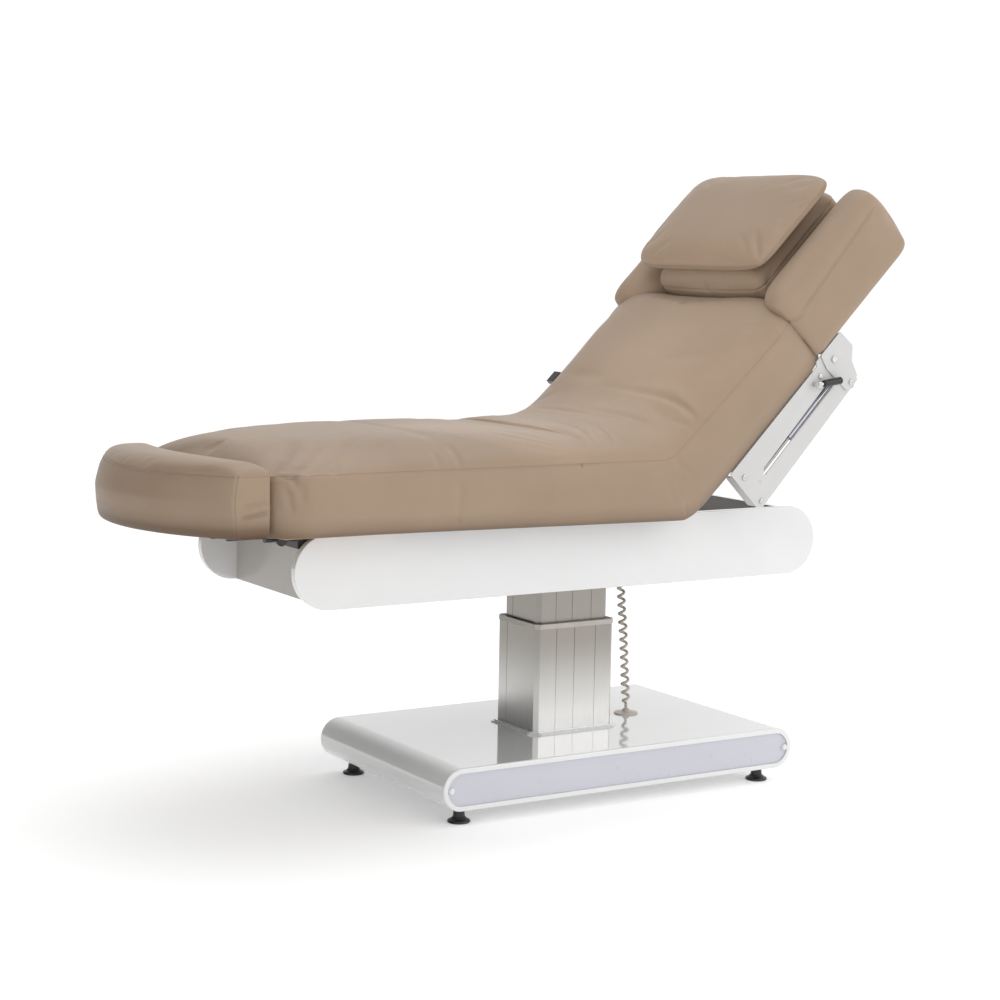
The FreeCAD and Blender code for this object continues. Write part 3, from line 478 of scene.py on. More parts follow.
def puff(obj, hold, spare, cap, growth=0.03):
    """Blow the cover up a little as cloth, holding it where it is sewn or tacked, and keep the
    result.  No point moves more than cap; spare cloth grows by up to growth."""
    start = coords(obj)
    for name, weights in (("hold", hold), ("spare", spare)):
        group = obj.vertex_groups.new(name=name)
        steps = np.round(np.clip(weights, 0, 1), 2)
        for value in np.unique(steps):
            if value > 0:
                group.add([int(i) for i in np.nonzero(steps == value)[0]], float(value), "REPLACE")
    mod = obj.modifiers.new("Cloth", "CLOTH")
    for key, value in (
        ("quality", 4), ("mass", 0.25), ("tension_stiffness", CLOTH_STIFFNESS),
        ("compression_stiffness", CLOTH_STIFFNESS), ("shear_stiffness", CLOTH_STIFFNESS / 2),
        ("bending_stiffness", 1.0), ("tension_damping", 8), ("compression_damping", 8),
        ("air_damping", 2), ("vertex_group_mass", "hold"), ("pin_stiffness", 1.0),
        ("use_pressure", True), ("uniform_pressure_force", CLOTH_PRESSURE),
        ("vertex_group_shrink", "spare"), ("shrink_min", 0.0), ("shrink_max", -growth),
    ):
        setattr(mod.settings, key, value)
    mod.settings.effector_weights.gravity = 0
    mod.collision_settings.use_collision = False
    mod.point_cache.frame_start = 1
    mod.point_cache.frame_end = CLOTH_FRAMES + 1
    scene = bpy.context.scene
    for f in range(1, CLOTH_FRAMES + 1):
        scene.frame_set(f)
    result = obj.evaluated_get(bpy.context.evaluated_depsgraph_get())
    move = coords(result) - start
    obj.modifiers.remove(mod)
    obj.vertex_groups.clear()
    scene.frame_set(1)
    size = np.linalg.norm(move, axis=1, keepdims=True) + 1e-9
    move *= cap * np.tanh(size / cap) / size
    print("puff", obj.name, "moved up to %.1f mm" % (np.linalg.norm(move, axis=1).max() * 1000))
    set_coords(obj, start + move)


def keep_crisp(pad, i):
    """Keep one end loop's edges crisp through subdivision."""
    mesh = pad.obj.data
    ring = set(pad.ring_part(i, 0, pad.ring - 1))
    values = [float(e.vertices[0] in ring and e.vertices[1] in ring) for e in mesh.edges]
    attribute = mesh.attributes.new("crease_edge", "FLOAT", "EDGE")
    attribute.data.foreach_set("value", values)


def subdivide(obj):
    mod = obj.modifiers.new("Subdivision", "SUBSURF")
    mod.levels = 1
    mod.render_levels = 1
    mod.boundary_smooth = "ALL"
    graph = bpy.context.evaluated_depsgraph_get()
    mesh = bpy.data.meshes.new_from_object(obj.evaluated_get(graph), preserve_all_data_layers=True,
                                           depsgraph=graph)
    obj.modifiers.remove(mod)
    obj.data = mesh
    mesh.shade_smooth()


def nearest_on(co, path):
    """Distance from each point to a polyline, and the share of its length there."""
    path = np.asarray(path, float)
    a = path[:-1]
    d = path[1:] - a
    seg = (d ** 2).sum(1) + 1e-18
    length = np.concatenate([[0], np.cumsum(np.sqrt(seg))])
    best = np.full(len(co), 1e9)
    share = np.zeros(len(co))
    for i in range(len(a)):
        t = np.clip(((co - a[i]) @ d[i]) / seg[i], 0, 1)
        dist = np.linalg.norm(co - (a[i] + t[:, None] * d[i]), axis=1)
        closer = dist < best
        best[closer] = dist[closer]
        share[closer] = (length[i] + t[closer] * (length[i + 1] - length[i])) / length[-1]
    return best, share


def carve(obj, folds, keep=None):
    """Press folds into the cover: each is (polyline, depth, width, fade).  Depth above 0 sinks a
    valley between two low ridges, and fade is the share of its length over which it starts and ends,
    or a pair of them.  keep scales the result by place."""
    co = coords(obj)
    no = normals(obj)
    move = np.zeros(len(co))
    surface = BVHTree.FromPolygons([Vector(p) for p in co], [tuple(p.vertices) for p in obj.data.polygons])
    for path, depth, width, fade in folds:
        path = along(path, np.linspace(0, 1, 25))
        path = np.array([surface.find_nearest(Vector(p))[0] for p in path])
        start, end = fade if isinstance(fade, tuple) else (fade, fade)
        near = within(co, path, 5 * width)
        dist, share = nearest_on(co[near], path)
        x = dist / width
        shape = (1 - 1.1 * x ** 2) * np.exp(-x ** 2)
        shape *= np.clip(np.minimum(share / start, (1 - share) / end), 0, 1) ** 0.8
        move[near] -= depth * shape
    if keep is not None:
        move *= keep(co)
    set_coords(obj, co + no * move[:, None])


def seam_line(obj, points, depth=0.0009, width=0.0024):
    """Sink a sewn line into the cover; points lie along it."""
    co = coords(obj)
    no = normals(obj)
    dense = along(points, np.linspace(0, 1, len(points) * 4))
    tree = kd_tree(dense)
    near = within(co, dense, 4 * width)
    dist = np.array([tree.find(co[i])[2] for i in near])
    x = dist / width
    no[np.abs(co[:, 0] - cut_x) < 0.0015, 0] = 0
    move = np.zeros(len(co))
    move[near] = -depth * np.exp(-x ** 2) + 0.35 * depth * np.exp(-((x - 2.2) / 0.9) ** 2)
    set_coords(obj, co + no * move[:, None])


def stitch_row(name, obj, points, offset=STITCH_OFFSET):
    """Short raised stitches that lie on the cover beside a seam."""
    pitch, length, radius = 0.0064, 0.0040, 0.00045
    co = coords(obj)
    no = normals(obj)
    tree = kd_tree(co)
    count = max(2, int(length_of(points) / pitch))
    line = along(points, (np.arange(count) + 0.5) / count)
    verts = []
    faces = []
    for p, t in zip(line, unit(np.gradient(line, axis=0))):
        n = np.mean([no[i] for _, i, _ in tree.find_n(p, 4)], axis=0)
        q = p + np.cross(t, n) * offset
        index = tree.find(q)[1]
        n = no[index]
        q = q + n * (np.dot(co[index] - q, n) + radius * 0.35)
        side = np.cross(t, n)
        side /= np.linalg.norm(side) + 1e-9
        base = len(verts)
        for share, thick in ((-0.5, False), (-0.36, True), (0.36, True), (0.5, False)):
            centre = q + t * length * share - n * radius * (0 if thick else 0.9)
            if not thick:
                verts.append(centre)
                continue
            for a in (0, 72, 144, 216, 288):
                c = math.cos(math.radians(a)) * radius
                s = math.sin(math.radians(a)) * radius
                verts.append(centre + side * c + n * s)
        for a in range(5):
            b = (a + 1) % 5
            faces.append((base, base + 1 + b, base + 1 + a))
            faces.append((base + 1 + a, base + 1 + b, base + 6 + b, base + 6 + a))
            faces.append((base + 11, base + 6 + a, base + 6 + b))
    mesh = bpy.data.meshes.new(name)
    mesh.from_pydata([tuple(v) for v in verts], [], faces)
    mesh.update()
    stitched = bpy.data.objects.new(name, mesh)
    link(stitched)
    mesh.materials.append(THREAD)
    mesh.shade_smooth()
    return stitched


# ---------------------------------------------------------------- curly cord

CORD_ROUTE = [(219, 12, 149), (216, 12, 190), (210, 11, 270), (202, 10, 360), (194, 12, 450),
              (192, 12, 530), (198, 12, 572)]
CORD_WIRE = 0.0036
CORD_COIL = 0.0080
CORD_PITCH = 0.0225
CORD_STRAIGHT = 0.034  # length without turns, both ends together
CORD_SIDES = 12
POINTS_PER_TURN = 26


def route_points(route):
    """Points along the route's own spline."""
    data = bpy.data.curves.new("route", "CURVE")
    data.dimensions = "3D"
    data.resolution_u = 40
    spline = data.splines.new("NURBS")
    spline.points.add(len(route) - 1)
    for point, place in zip(spline.points, route):
        point.co = (*at(*place), 1)
    spline.order_u = 3
    spline.use_endpoint_u = True
    obj = bpy.data.objects.new("route", data)
    link(obj)
    mesh = bpy.data.meshes.new_from_object(obj.evaluated_get(bpy.context.evaluated_depsgraph_get()))
    points = np.array([v.co for v in mesh.vertices])
    bpy.data.objects.remove(obj)
    return points


def make_cord():
    line = route_points(CORD_ROUTE)
    if line[0][2] > line[-1][2]:
        line = line[::-1]
    total = length_of(line)
    turns = (total - CORD_STRAIGHT) / CORD_PITCH
    share = np.linspace(0, 1, int(turns * POINTS_PER_TURN))
    spine = along(line, share)
    ahead = unit(np.gradient(spine, axis=0))
    side = unit(np.cross(ahead, (0, 1, 0)))
    other = np.cross(ahead, side)
    run = share * total
    reach = CORD_COIL * np.clip(np.minimum(run - 0.012, total - 0.006 - run) / 0.012, 0, 1) ** 0.7
    reach = reach * (1 + 0.05 * np.sin(run * 37) + 0.04 * np.sin(run * 91 + 1))
    angle = run / CORD_PITCH * 2 * math.pi + 0.35 * np.sin(run * 23)
    path = spine + side * (reach * np.cos(angle))[:, None]
    path = path + other * (reach * np.sin(angle))[:, None]
    step = unit(np.gradient(path, axis=0))
    normal = np.cross(step, ahead + 1e-6)
    normal /= np.linalg.norm(normal, axis=1, keepdims=True) + 1e-12
    normal[reach < 1e-5] = side[reach < 1e-5]
    binormal = np.cross(step, normal)
    verts = []
    for j in range(CORD_SIDES):
        a = 2 * math.pi * j / CORD_SIDES
        verts.append(path + CORD_WIRE * (normal * math.cos(a) + binormal * math.sin(a)))
    verts = np.stack(verts, 1)
    last = (len(path) - 1) * CORD_SIDES
    faces = []
    for i in range(0, last, CORD_SIDES):
        for j in range(CORD_SIDES):
            a = i + j
            b = i + (j + 1) % CORD_SIDES
            faces.append((a, b, b + CORD_SIDES, a + CORD_SIDES))
    faces.append(tuple(range(CORD_SIDES)))
    faces.append(tuple(last + j for j in range(CORD_SIDES))[::-1])
    cord = make_object("curly_cord_coils", verts.reshape(-1, 3), faces, CORD)
    outward(cord)
    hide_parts("curly_cord")
    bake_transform(cord)


make_cord()


# ---------------------------------------------------------------- mattress

HALF = 360.0
SEAM_Z = 820.0
CROWN_Z = 881.0
LOW_Z = 687.0
CUT_X = -180.0  # the two mattress pieces meet here
FOOT_X, HEAD_U = -940, 503  # ends of the mattress
SIDE_HEIGHT = 133
TOP_RISE = 62
SIDE = [(-326, 0), (-341, 0.0), (-348, 0.012), (-352, 0.04), (-356, 0.10), (-360, 0.2), (-365, 0.4),
        (-367, 0.58), (-366, 0.78), (-363, 0.93), (-360, 1.0)]


def bent(z_level, w_of_u, tangent, flat, bend, back):
    """One lengthwise line of the mattress in X and Z: flat, a rounded valley, then up the backrest.
    Its stations stand square to the bed until just past the cut."""
    corner = HINGE_X - (w_of_u(0.0) - (z_level - HINGE_Z) * C45) / C45
    u_corner = (z_level - HINGE_Z) * C45 + (corner - HINGE_X) * C45
    x1 = corner - tangent
    u1 = u_corner + tangent
    square = CUT_X + 25 - FOOT_X
    spread = (x1 - FOOT_X - square) / (flat[-1] - square)
    x = FOOT_X + np.where(flat <= square, flat, square + (flat - square) * spread)
    first = np.stack([x, np.full(len(flat), z_level)], -1)
    u = u1 + back * (HEAD_U - u1)
    w = np.array([w_of_u(v) for v in u])
    last = np.stack([HINGE_X + (u - w) * C45, HINGE_Z + (u + w) * C45], -1)
    t = bend[:, None]
    middle = (1 - t) ** 2 * first[-1] + 2 * t * (1 - t) * np.array([corner, z_level]) + t ** 2 * last[0]
    return np.concatenate([first, middle[1:-1], last])


def rounded(distance, radius):
    """Rise of a quarter round at a distance from its edge, 0 to 1."""
    x = np.clip(1 - distance / radius, 0, 1)
    return np.sqrt(np.maximum(0, 1 - x ** 2))


def bowed(low, high, a, h, fade_foot, fade_head):
    """A line across the mattress at heights h between two levels, with the foot end bowed outward
    and the head end bowed up the backrest."""
    foot = -45 * fade_foot * (1 - (a / HALF) ** 2)
    head = 64 * fade_head * (1 - np.abs(a / HALF) ** 7.0) * C45
    x = low[0] + (high[0] - low[0]) * h + (foot + head)
    return np.stack([x, a, low[1] + (high[1] - low[1]) * h + head], -1)


def make_mattress():
    flat_len, back_len = 1010.0, 440.0
    beyond = 1e4
    fine = 60 * (1 - np.cos(np.linspace(0, math.pi / 2, 11)))
    flat = np.concatenate([fine, np.arange(68, flat_len - 4, 8.0), [flat_len]])
    back_d = np.concatenate([[back_len], np.arange(back_len - 8, 62, -8.0), fine[::-1]])
    stations = flat, np.linspace(0, 1, 23), 1 - back_d / back_len
    low = bent(LOW_Z, lambda u: 17.0 - 4.0 * min(1.0, u / 120), 34, *stations)
    seam = bent(SEAM_Z, lambda u: 171 - 0.040 * u, 24, *stations)
    crown = bent(CROWN_Z, lambda u: 211 - 0.004 * u, 130, *stations)
    low[:, 1] -= 11 * np.clip((low[:, 0] + 760) / 860, 0, 1) * np.clip((165 - low[:, 0]) / 45, 0, 1)
    count = len(low)
    from_foot = np.concatenate([flat, np.full(count - len(flat), beyond)])
    from_head = np.concatenate([np.full(count - len(back_d), beyond), back_d])
    crown[:, 1] -= 2.0 * np.exp(-((crown[:, 0] + 505) / 45) ** 2) * (from_head == beyond)

    top_shape = []
    for angle in np.linspace(0, math.pi / 2, 240):
        top_shape.append((-HALF * math.cos(angle) ** 0.42, math.sin(angle) ** 0.8 * TOP_RISE))
    tb = shares(770.0, 8.5, True, True)
    th = shares(150.0, 8.0, False, True)
    top = along(np.array(top_shape + [(-a, h) for a, h in top_shape[-2::-1]]), tb)[::-1]
    side = along(np.array(SIDE) * (1, SIDE_HEIGHT), th) / (1, SIDE_HEIGHT)
    loops = []
    for i in range(count):
        foot_round = rounded(from_foot[i], 85)
        head_round = rounded(from_head[i], 40)
        half = 1 - (76 * (1 - foot_round) + 26 * (1 - head_round)) / HALF
        taper = 1 - 0.5 * math.exp(-from_foot[i] / 130)
        rise = min(rounded(from_foot[i], 66) ** 0.8, rounded(from_head[i], 46) ** 0.7)
        edge_drop = 0.42 * math.exp(-from_foot[i] / 230)
        fades = max(0.0, 1 - from_foot[i] / 260), max(0.0, 1 - from_head[i] / 260)
        bottom = side[0, 0] * half + (tb * 2) * -side[0, 0] * half
        lift = top[:, 1] / TOP_RISE * rise * (taper - edge_drop * np.abs(top[:, 0] / HALF) ** 4)
        ring = [bowed(low[i], seam[i], bottom, 0, *fades),
                bowed(low[i], seam[i], -side[:, 0] * half, side[:, 1], *fades),
                bowed(seam[i], crown[i], top[:, 0] * half, lift, *fades),
                bowed(low[i], seam[i], side[::-1, 0] * half, side[::-1, 1], *fades)]
        loops.append(np.concatenate([line[:-1] for line in ring]))
    loops = np.array(loops)
    loops = at(loops[..., 0], loops[..., 1], loops[..., 2])
    cut = int(np.argmin(np.abs(low[:, 0] - CUT_X)))
    # Both mattress pieces get painted shade along their bottom edges, reaching 60 mm up.
    return (Pad("mattress_leg_and_seat", loops[:cut + 1], tb, th, painted_low_shade=0.060),
            Pad("mattress_seat_and_back", loops[cut:], tb, th, painted_low_shade=0.060))


leg_pad, back_pad = make_mattress()
cut_x = float(coords(back_pad.obj)[:back_pad.ring, 0].mean())


def mattress_weights(pad):
    """Where the cover is tacked or sewn, and where it has cloth to spare."""
    co = coords(pad.obj)
    hold = pad.held(0.06, 0.75, (pad.seam_near, pad.seam_far), 2)
    hold[np.abs(co[:, 0] - cut_x) < 0.035] = 1.0
    return co, hold, np.full(len(co), 0.25)


def local(co, centre, reach):
    return np.exp(-(((co - np.asarray(centre)) / np.asarray(reach)) ** 2).sum(1))


co, hold, spare = mattress_weights(leg_pad)
corners = [local(co, at(-935, y, 800), (0.06, 0.07, 0.08)) for y in (-350, 350)]
spare += 0.9 * corners[0] + 0.9 * corners[1]
spare += 0.7 * local(co, at(-500, -300, 850), (0.10, 0.12, 0.08))
puff(leg_pad.obj, hold, spare, 0.010)
co, hold, spare = mattress_weights(back_pad)
near_bend = local(co, at(70, -330, 850), (0.12, 0.12, 0.12))
spare += 0.8 * near_bend + 0.5 * local(co, at(70, 200, 880), (0.12, 0.3, 0.12))
puff(back_pad.obj, hold, spare, 0.010)


def cut_keep(co):
    """0 at the cut, 1 away from it: no fold moves the edge where the two pieces meet."""
    return np.clip((np.abs(co[:, 0] - cut_x) - 0.004) / 0.03, 0, 1)


def sharp_end(pad, x):
    """Keep the hidden end at the cut from bending the cover's shading."""
    mesh = pad.obj.data
    normal = read(mesh.polygons, "normal")
    centre = read(mesh.polygons, "center")
    flat = (np.abs(normal[:, 0]) > 0.9) & (np.abs(centre[:, 0] - x) < 0.002)
    attribute = mesh.attributes.get("sharp_edge")
    attribute = attribute or mesh.attributes.new("sharp_edge", "BOOLEAN", "EDGE")
    loops = {}
    for polygon in mesh.polygons:
        for key in polygon.edge_keys:
            loops.setdefault(key, []).append(flat[polygon.index])
    values = np.zeros(len(mesh.edges), bool)
    for edge in mesh.edges:
        pair = loops.get(tuple(edge.key))
        values[edge.index] = bool(pair and len(pair) == 2 and pair[0] != pair[1])
    attribute.data.foreach_set("value", values)


def seam_points(pad, k, first=0, last=None):
    return coords(pad.obj)[pad.row(k, first, last)]


def finish_mattress(pad, folds, free_end, cut_end):
    """Fold and sew a mattress piece; free_end and cut_end are the numbers of its end loops."""
    near = seam_points(pad, pad.seam_near)
    far = seam_points(pad, pad.seam_far)
    cross = coords(pad.obj)[pad.ring_part(free_end, pad.seam_far, pad.seam_near)]
    keep_crisp(pad, cut_end)
    subdivide(pad.obj)
    carve(pad.obj, folds, cut_keep)
    for line in (near, far, cross):
        seam_line(pad.obj, line)
    sharp_end(pad, cut_x)
    rows = []
    for tag, line in (("near", near), ("far", far), ("end", cross)):
        rows.append(stitch_row(pad.obj.name + "_stitches_" + tag, pad.obj, line))
    return rows


LEG_FOLDS = [
    (at([-950, -922, -905, -900], [-320, -340, -356, -362], [842, 834, 818, 790]), 0.0060, 0.011, 0.25),
    (at([-896, -890, -888], [-362, -366, -366], [830, 800, 760]), 0.0030, 0.013, 0.3),
    (at([-922, -912, -908], [-340, -350, -354], [806, 780, 740]), 0.0040, 0.010, 0.3),
    (at([-935, -905, -860], [-320, -325, -325], [842, 850, 856]), 0.0030, 0.014, 0.3),
    (at([-820, -800, -786], [-359, -352, -336], [828, 838, 850]), 0.0024, 0.010, 0.3),
    (at([-560, -552, -548], [-359, -348, -318], [830, 845, 862]), 0.0026, 0.012, 0.3),
    (at([-508, -504, -500, -496], [-362, -358, -340, -290], [824, 838, 856, 872]), 0.0030, 0.013, 0.25),
    (at([-506, -507, -508, -508], [-366, -367, -366, -362], [812, 780, 745, 705]), 0.0018, 0.015, 0.25),
    (at([-516, -508, -496], [-360, -361, -360], [714, 709, 702]), 0.0030, 0.009, 0.35),
    (at([-520, -508, -500, -498, -504], [-300, -150, 0, 150, 300], [874, 879, 880, 879, 874]),
     0.0020, 0.024, 0.3),
    (at([-760, -640, -560], -366, [705, 702, 706]), 0.0018, 0.014, 0.4),
    (at([-900, -780, -640], -366, [716, 708, 712]), 0.0020, 0.016, 0.4),
]
BACK_FOLDS = [
    (up([203, 199, 195, 189, 182, 170, 156], [60, -20, -107, -210, -283, -330, -354],
        [206, 206, 206, 204, 200, 188, 170]), 0.0040, 0.012, (0.75, 0.15)),
    (up([224, 218, 212, 200], [-60, -150, -240, -320], [206, 206, 204, 194]), -0.0016, 0.020, (0.6, 0.3)),
    (up([228, 232, 236], [60, 160, 260], [207, 207, 205]), 0.0026, 0.026, 0.4),
    (up([60, 67, 70, 60, 43], [200, 107, -67, -180, -263], [206, 206, 206, 206, 205]), 0.0034, 0.012, 0.3),
    (up([96, 92, 84, 70], [60, -80, -200, -300], [206, 206, 206, 202]), 0.0030, 0.013, 0.35),
    (at([-35, -60, -90, -118], [20, -120, -240, -330], [881, 881, 878, 868]), 0.0034, 0.010, 0.3),
    (at([10, -10, -40, -70], [-60, -160, -260, -335], [884, 884, 882, 866]), 0.0028, 0.010, 0.3),
    (at([84, 104, 128, 150], [-364, -366, -366, -366], [816, 800, 778, 760]), 0.0014, 0.012, (0.2, 0.7)),
    (at([46, 54, 66, 84], [-366, -367, -366, -364], [796, 770, 740, 706]), 0.0010, 0.014, 0.35),
    (up([300, 320, 330], [-60, -180, -290], [207, 206, 202]), 0.0014, 0.024, 0.4),
    (up([128, 138, 148], [-290, -330, -352], [202, 190, 172]), 0.0018, 0.012, 0.3),
]
leg_rows = finish_mattress(leg_pad, LEG_FOLDS, 0, leg_pad.count - 1)
back_rows = finish_mattress(back_pad, BACK_FOLDS, back_pad.count - 1, 0)
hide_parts("mattress_leg")
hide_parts("mattress_seat", "mattress_back")
for obj in [leg_pad.obj] + leg_rows:
    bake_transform(obj)
for obj in [back_pad.obj] + back_rows:
    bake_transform(obj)


def make_tag():
    """Small plain tag sewn into the far side of the backrest."""
    verts = [up([222, 256, 256, 222], y, [190, 190, 178, 178]) for y in (330, 359)]
    faces = [(0, 1, 2, 3), (7, 6, 5, 4), (0, 4, 5, 1), (1, 5, 6, 2), (2, 6, 7, 3), (3, 7, 4, 0)]
    tag = make_object("side_tag", np.concatenate(verts), faces, BLACK, False)
    outward(tag)
    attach(tag, "back_section")


make_tag()


# ---------------------------------------------------------------- foot bolster

def arc_x(y, x_middle, x_end, half):
    """X of an arc through (x_middle, 0) and (x_end, +-half)."""
    rise = x_end - x_middle
    radius = (rise ** 2 + half ** 2) / (2 * rise)
    return x_middle + radius - math.sqrt(radius ** 2 - y ** 2)


def blunt(c, power):
    return math.copysign(abs(c) ** power, c)


def ring_from(bottom, far, top, near, tb, th):
    """One loop from four polylines, each drawn in its own direction round the loop."""
    return np.concatenate([along(bottom, tb)[:-1], along(far, th)[:-1], along(top, tb)[:-1],
                           along(near, (1 - th)[::-1])[:-1]])


def make_bolster():
    half = 335.0
    tb = shares(150.0, 8.0, True, True)
    th = shares(140.0, 8.0, False, True)
    ends = 26 * (1 - np.cos(np.linspace(0, math.pi / 2, 8)))
    distance = np.concatenate([ends, np.arange(34, half, 8.0)])
    y = np.concatenate([distance - half, [0.0], (half - distance)[::-1]])
    loops = []
    for v in y:
        d = half - abs(v)
        x_out = arc_x(v, -1165, -1030, half)
        x_in = arc_x(v, -994, -951, half)
        corner = 3 * (1 - rounded(d, 6))
        x_out += corner
        x_in += 3 - corner
        rise = rounded(d, 62 if v < 0 else 130) ** 0.9
        lean = 3 + 13 * min(1.0, max(0.0, (v + 300) / 200))
        wide = x_in - x_out
        mid = (x_in + x_out) / 2
        low = 692.0
        seam = 826.0 - 7 * math.exp(-((v + 60) / 140) ** 2)
        crown = 851.0 - 9.0 * (v + half) / (2 * half)
        arch = []
        for angle in np.linspace(0, math.pi, 90):
            c = math.cos(angle)
            lift = (crown - seam) * rise * math.sin(angle) ** 0.85 * (1 + 0.12 * c)
            arch.append((mid + lean / 2 + (wide - lean) / 2 * blunt(c, 0.55), seam + lift))
        outer = [(x_out + 12, low), (x_out + 4, low + 1), (x_out + 1, low + 7), (x_out - 3, low + 34),
                 (x_out - 6, low + 75), (x_out - 3 + lean * 0.55, seam - 16), (x_out + lean, seam)]
        inner = [(x_in - 8, low), (x_in - 2, low + 1), (x_in, low + 7), (x_in + 1, low + 60), (x_in, seam)]
        ring = ring_from([outer[0], inner[0]], inner, arch, outer[::-1], tb, th)
        loops.append(np.stack([ring[:, 0], np.full(len(ring), v), ring[:, 1]], -1))
    loops = np.array(loops)
    loops = at(loops[..., 0], loops[..., 1], loops[..., 2])
    # Painted shade along the bolster's bottom edges, reaching 55 mm up.
    pad = Pad("foot_bolster_cushion", loops, tb, th, bulge=(0.002, 0.002), painted_low_shade=0.055)
    co = coords(pad.obj)
    hold = pad.held(0.08, 0.8, (pad.seam_near, pad.seam_far))
    for i in (0, pad.count - 1):
        hold[pad.ring_part(i, 0, pad.ring - 1)] = 0.9
    spare = np.full(len(co), 0.2)
    spare += 0.8 * local(co, at(-990, -335, 760), (0.05, 0.02, 0.05))
    puff(pad.obj, hold, spare, 0.006)
    co = coords(pad.obj)
    lines = {"outer": seam_points(pad, pad.seam_near), "inner": seam_points(pad, pad.seam_far)}
    for tag, first, last in (("end_", pad.seam_far, pad.seam_near), ("upright_", pad.seam_near, pad.ring)):
        for end, i in (("near", 0), ("far", pad.count - 1)):
            lines[tag + end] = co[pad.ring_part(i, first, last)]
    subdivide(pad.obj)
    for line in lines.values():
        seam_line(pad.obj, line)
    folds = [
        (at([-1022, -995, -968, -946], -half - 2, [758, 762, 765, 761]), 0.0024, 0.0070, 0.3),
        (at([-1020, -995, -968, -944], -half - 2, [748, 752, 757, 755]), -0.0046, 0.0080, (0.35, 0.1)),
        (at([-1022, -1000, -975, -946], -half - 2, [738, 740, 744, 747]), 0.0056, 0.0060, (0.2, 0.2)),
    ]
    carve(pad.obj, folds)
    rows = [stitch_row("bolster_stitches_" + tag, pad.obj, line) for tag, line in lines.items()]
    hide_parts("foot_bolster")
    for obj in [pad.obj] + rows:
        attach(obj, "bolster")


make_bolster()


# ---------------------------------------------------------------- head section

def make_wing(side):
    name = "wing_near" if side < 0 else "wing_far"
    tb = shares(220.0, 8.0, True, True)
    th = shares(130.0, 8.0, False, True)
    fine_low = 30 * (1 - np.cos(np.linspace(0, math.pi / 2, 8)))
    fine_high = 75 * (1 - np.cos(np.linspace(0, math.pi / 2, 14)))
    length = 392.0
    run = np.concatenate([fine_low, np.arange(38, length - 80, 8.0), (length - fine_high)[::-1]])
    loops = []
    for r in run:
        to_end = length - r
        e1 = rounded(r, 30)
        e2 = rounded(to_end, 46)
        e3 = rounded(to_end, 75)
        e4 = rounded(r, 95)
        e5 = rounded(r, 60)
        inset = 15 * (1 - e1) + 16 * (1 - e2)
        low = 27 + 8 * (1 - e1) + 8 * (1 - e2)
        seam = 149 + 31 * r / length - 4 * (1 - e1) - 8 * (1 - e3)
        top = 226 - 24 * (1 - e5) - 6 * (1 - e2) - 6 * (1 - e3)
        y_out = 361 - inset
        y_in = 230 + inset * 0.8 + 64 * (1 - e4)
        outer = [(y_out - 16, low), (y_out - 6, low + 3), (y_out, low + 16), (y_out + 2, low + 55),
                 (y_out + 2, seam - 30), (y_out, seam)]
        shoulder = 146 - 6 * (1 - e1)
        inner = [(y_in + 8, low), (y_in + 2, low + 8), (y_in, low + 30), (y_in, shoulder - 6),
                 (y_in, shoulder)]
        middle = (y_in + y_out) / 2
        arch = []
        for angle in np.linspace(0, math.pi / 2, 30):
            arch.append((middle - (middle - y_in) * math.cos(angle) ** 1.12,
                         shoulder + (top - shoulder) * math.sin(angle) ** 1.12))
        for angle in np.linspace(math.pi / 2, 0, 30)[1:]:
            arch.append((middle + (y_out - middle) * math.cos(angle) ** 0.66,
                         seam + (top - seam) * math.sin(angle) ** 0.80))
        ring = ring_from([inner[0], outer[0]], outer, arch[::-1], inner[::-1], tb, th)
        u = 516 + r - 6 * (1 - r / length) * np.clip((ring[:, 1] - 33) / 190, 0, 1)
        loops.append(up(u, side * ring[:, 0], ring[:, 1]))
    pad = Pad(name + "_cushion", np.array(loops), tb, th, bulge=(0.005, 0.024))
    co = coords(pad.obj)
    hold = pad.held(0.05, 0.7, (pad.seam_far,))
    spare = np.full(len(co), 0.2)
    spare += 0.8 * local(co, up(525, side * 350, 150), (0.05, 0.05, 0.05))
    puff(pad.obj, hold, spare, 0.008)
    line = seam_points(pad, pad.seam_far, 9, pad.count - 8)
    subdivide(pad.obj)
    seam_line(pad.obj, line)
    across = side * np.array([362, 361, 352, 336, 308])
    tuck = up([560, 540, 524, 513, 510], across, [151, 147, 149, 158, 170])
    below = up([556, 538, 520, 511, 509], across, [138, 132, 134, 144, 156])
    carve(pad.obj, [(tuck, 0.0030, 0.0060, (0.3, 0.5)), (below, -0.0016, 0.010, (0.4, 0.5))])
    rows = [stitch_row(name + "_stitches", pad.obj, line)]
    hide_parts(name)
    for obj in [pad.obj] + rows:
        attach(obj, "head_section")


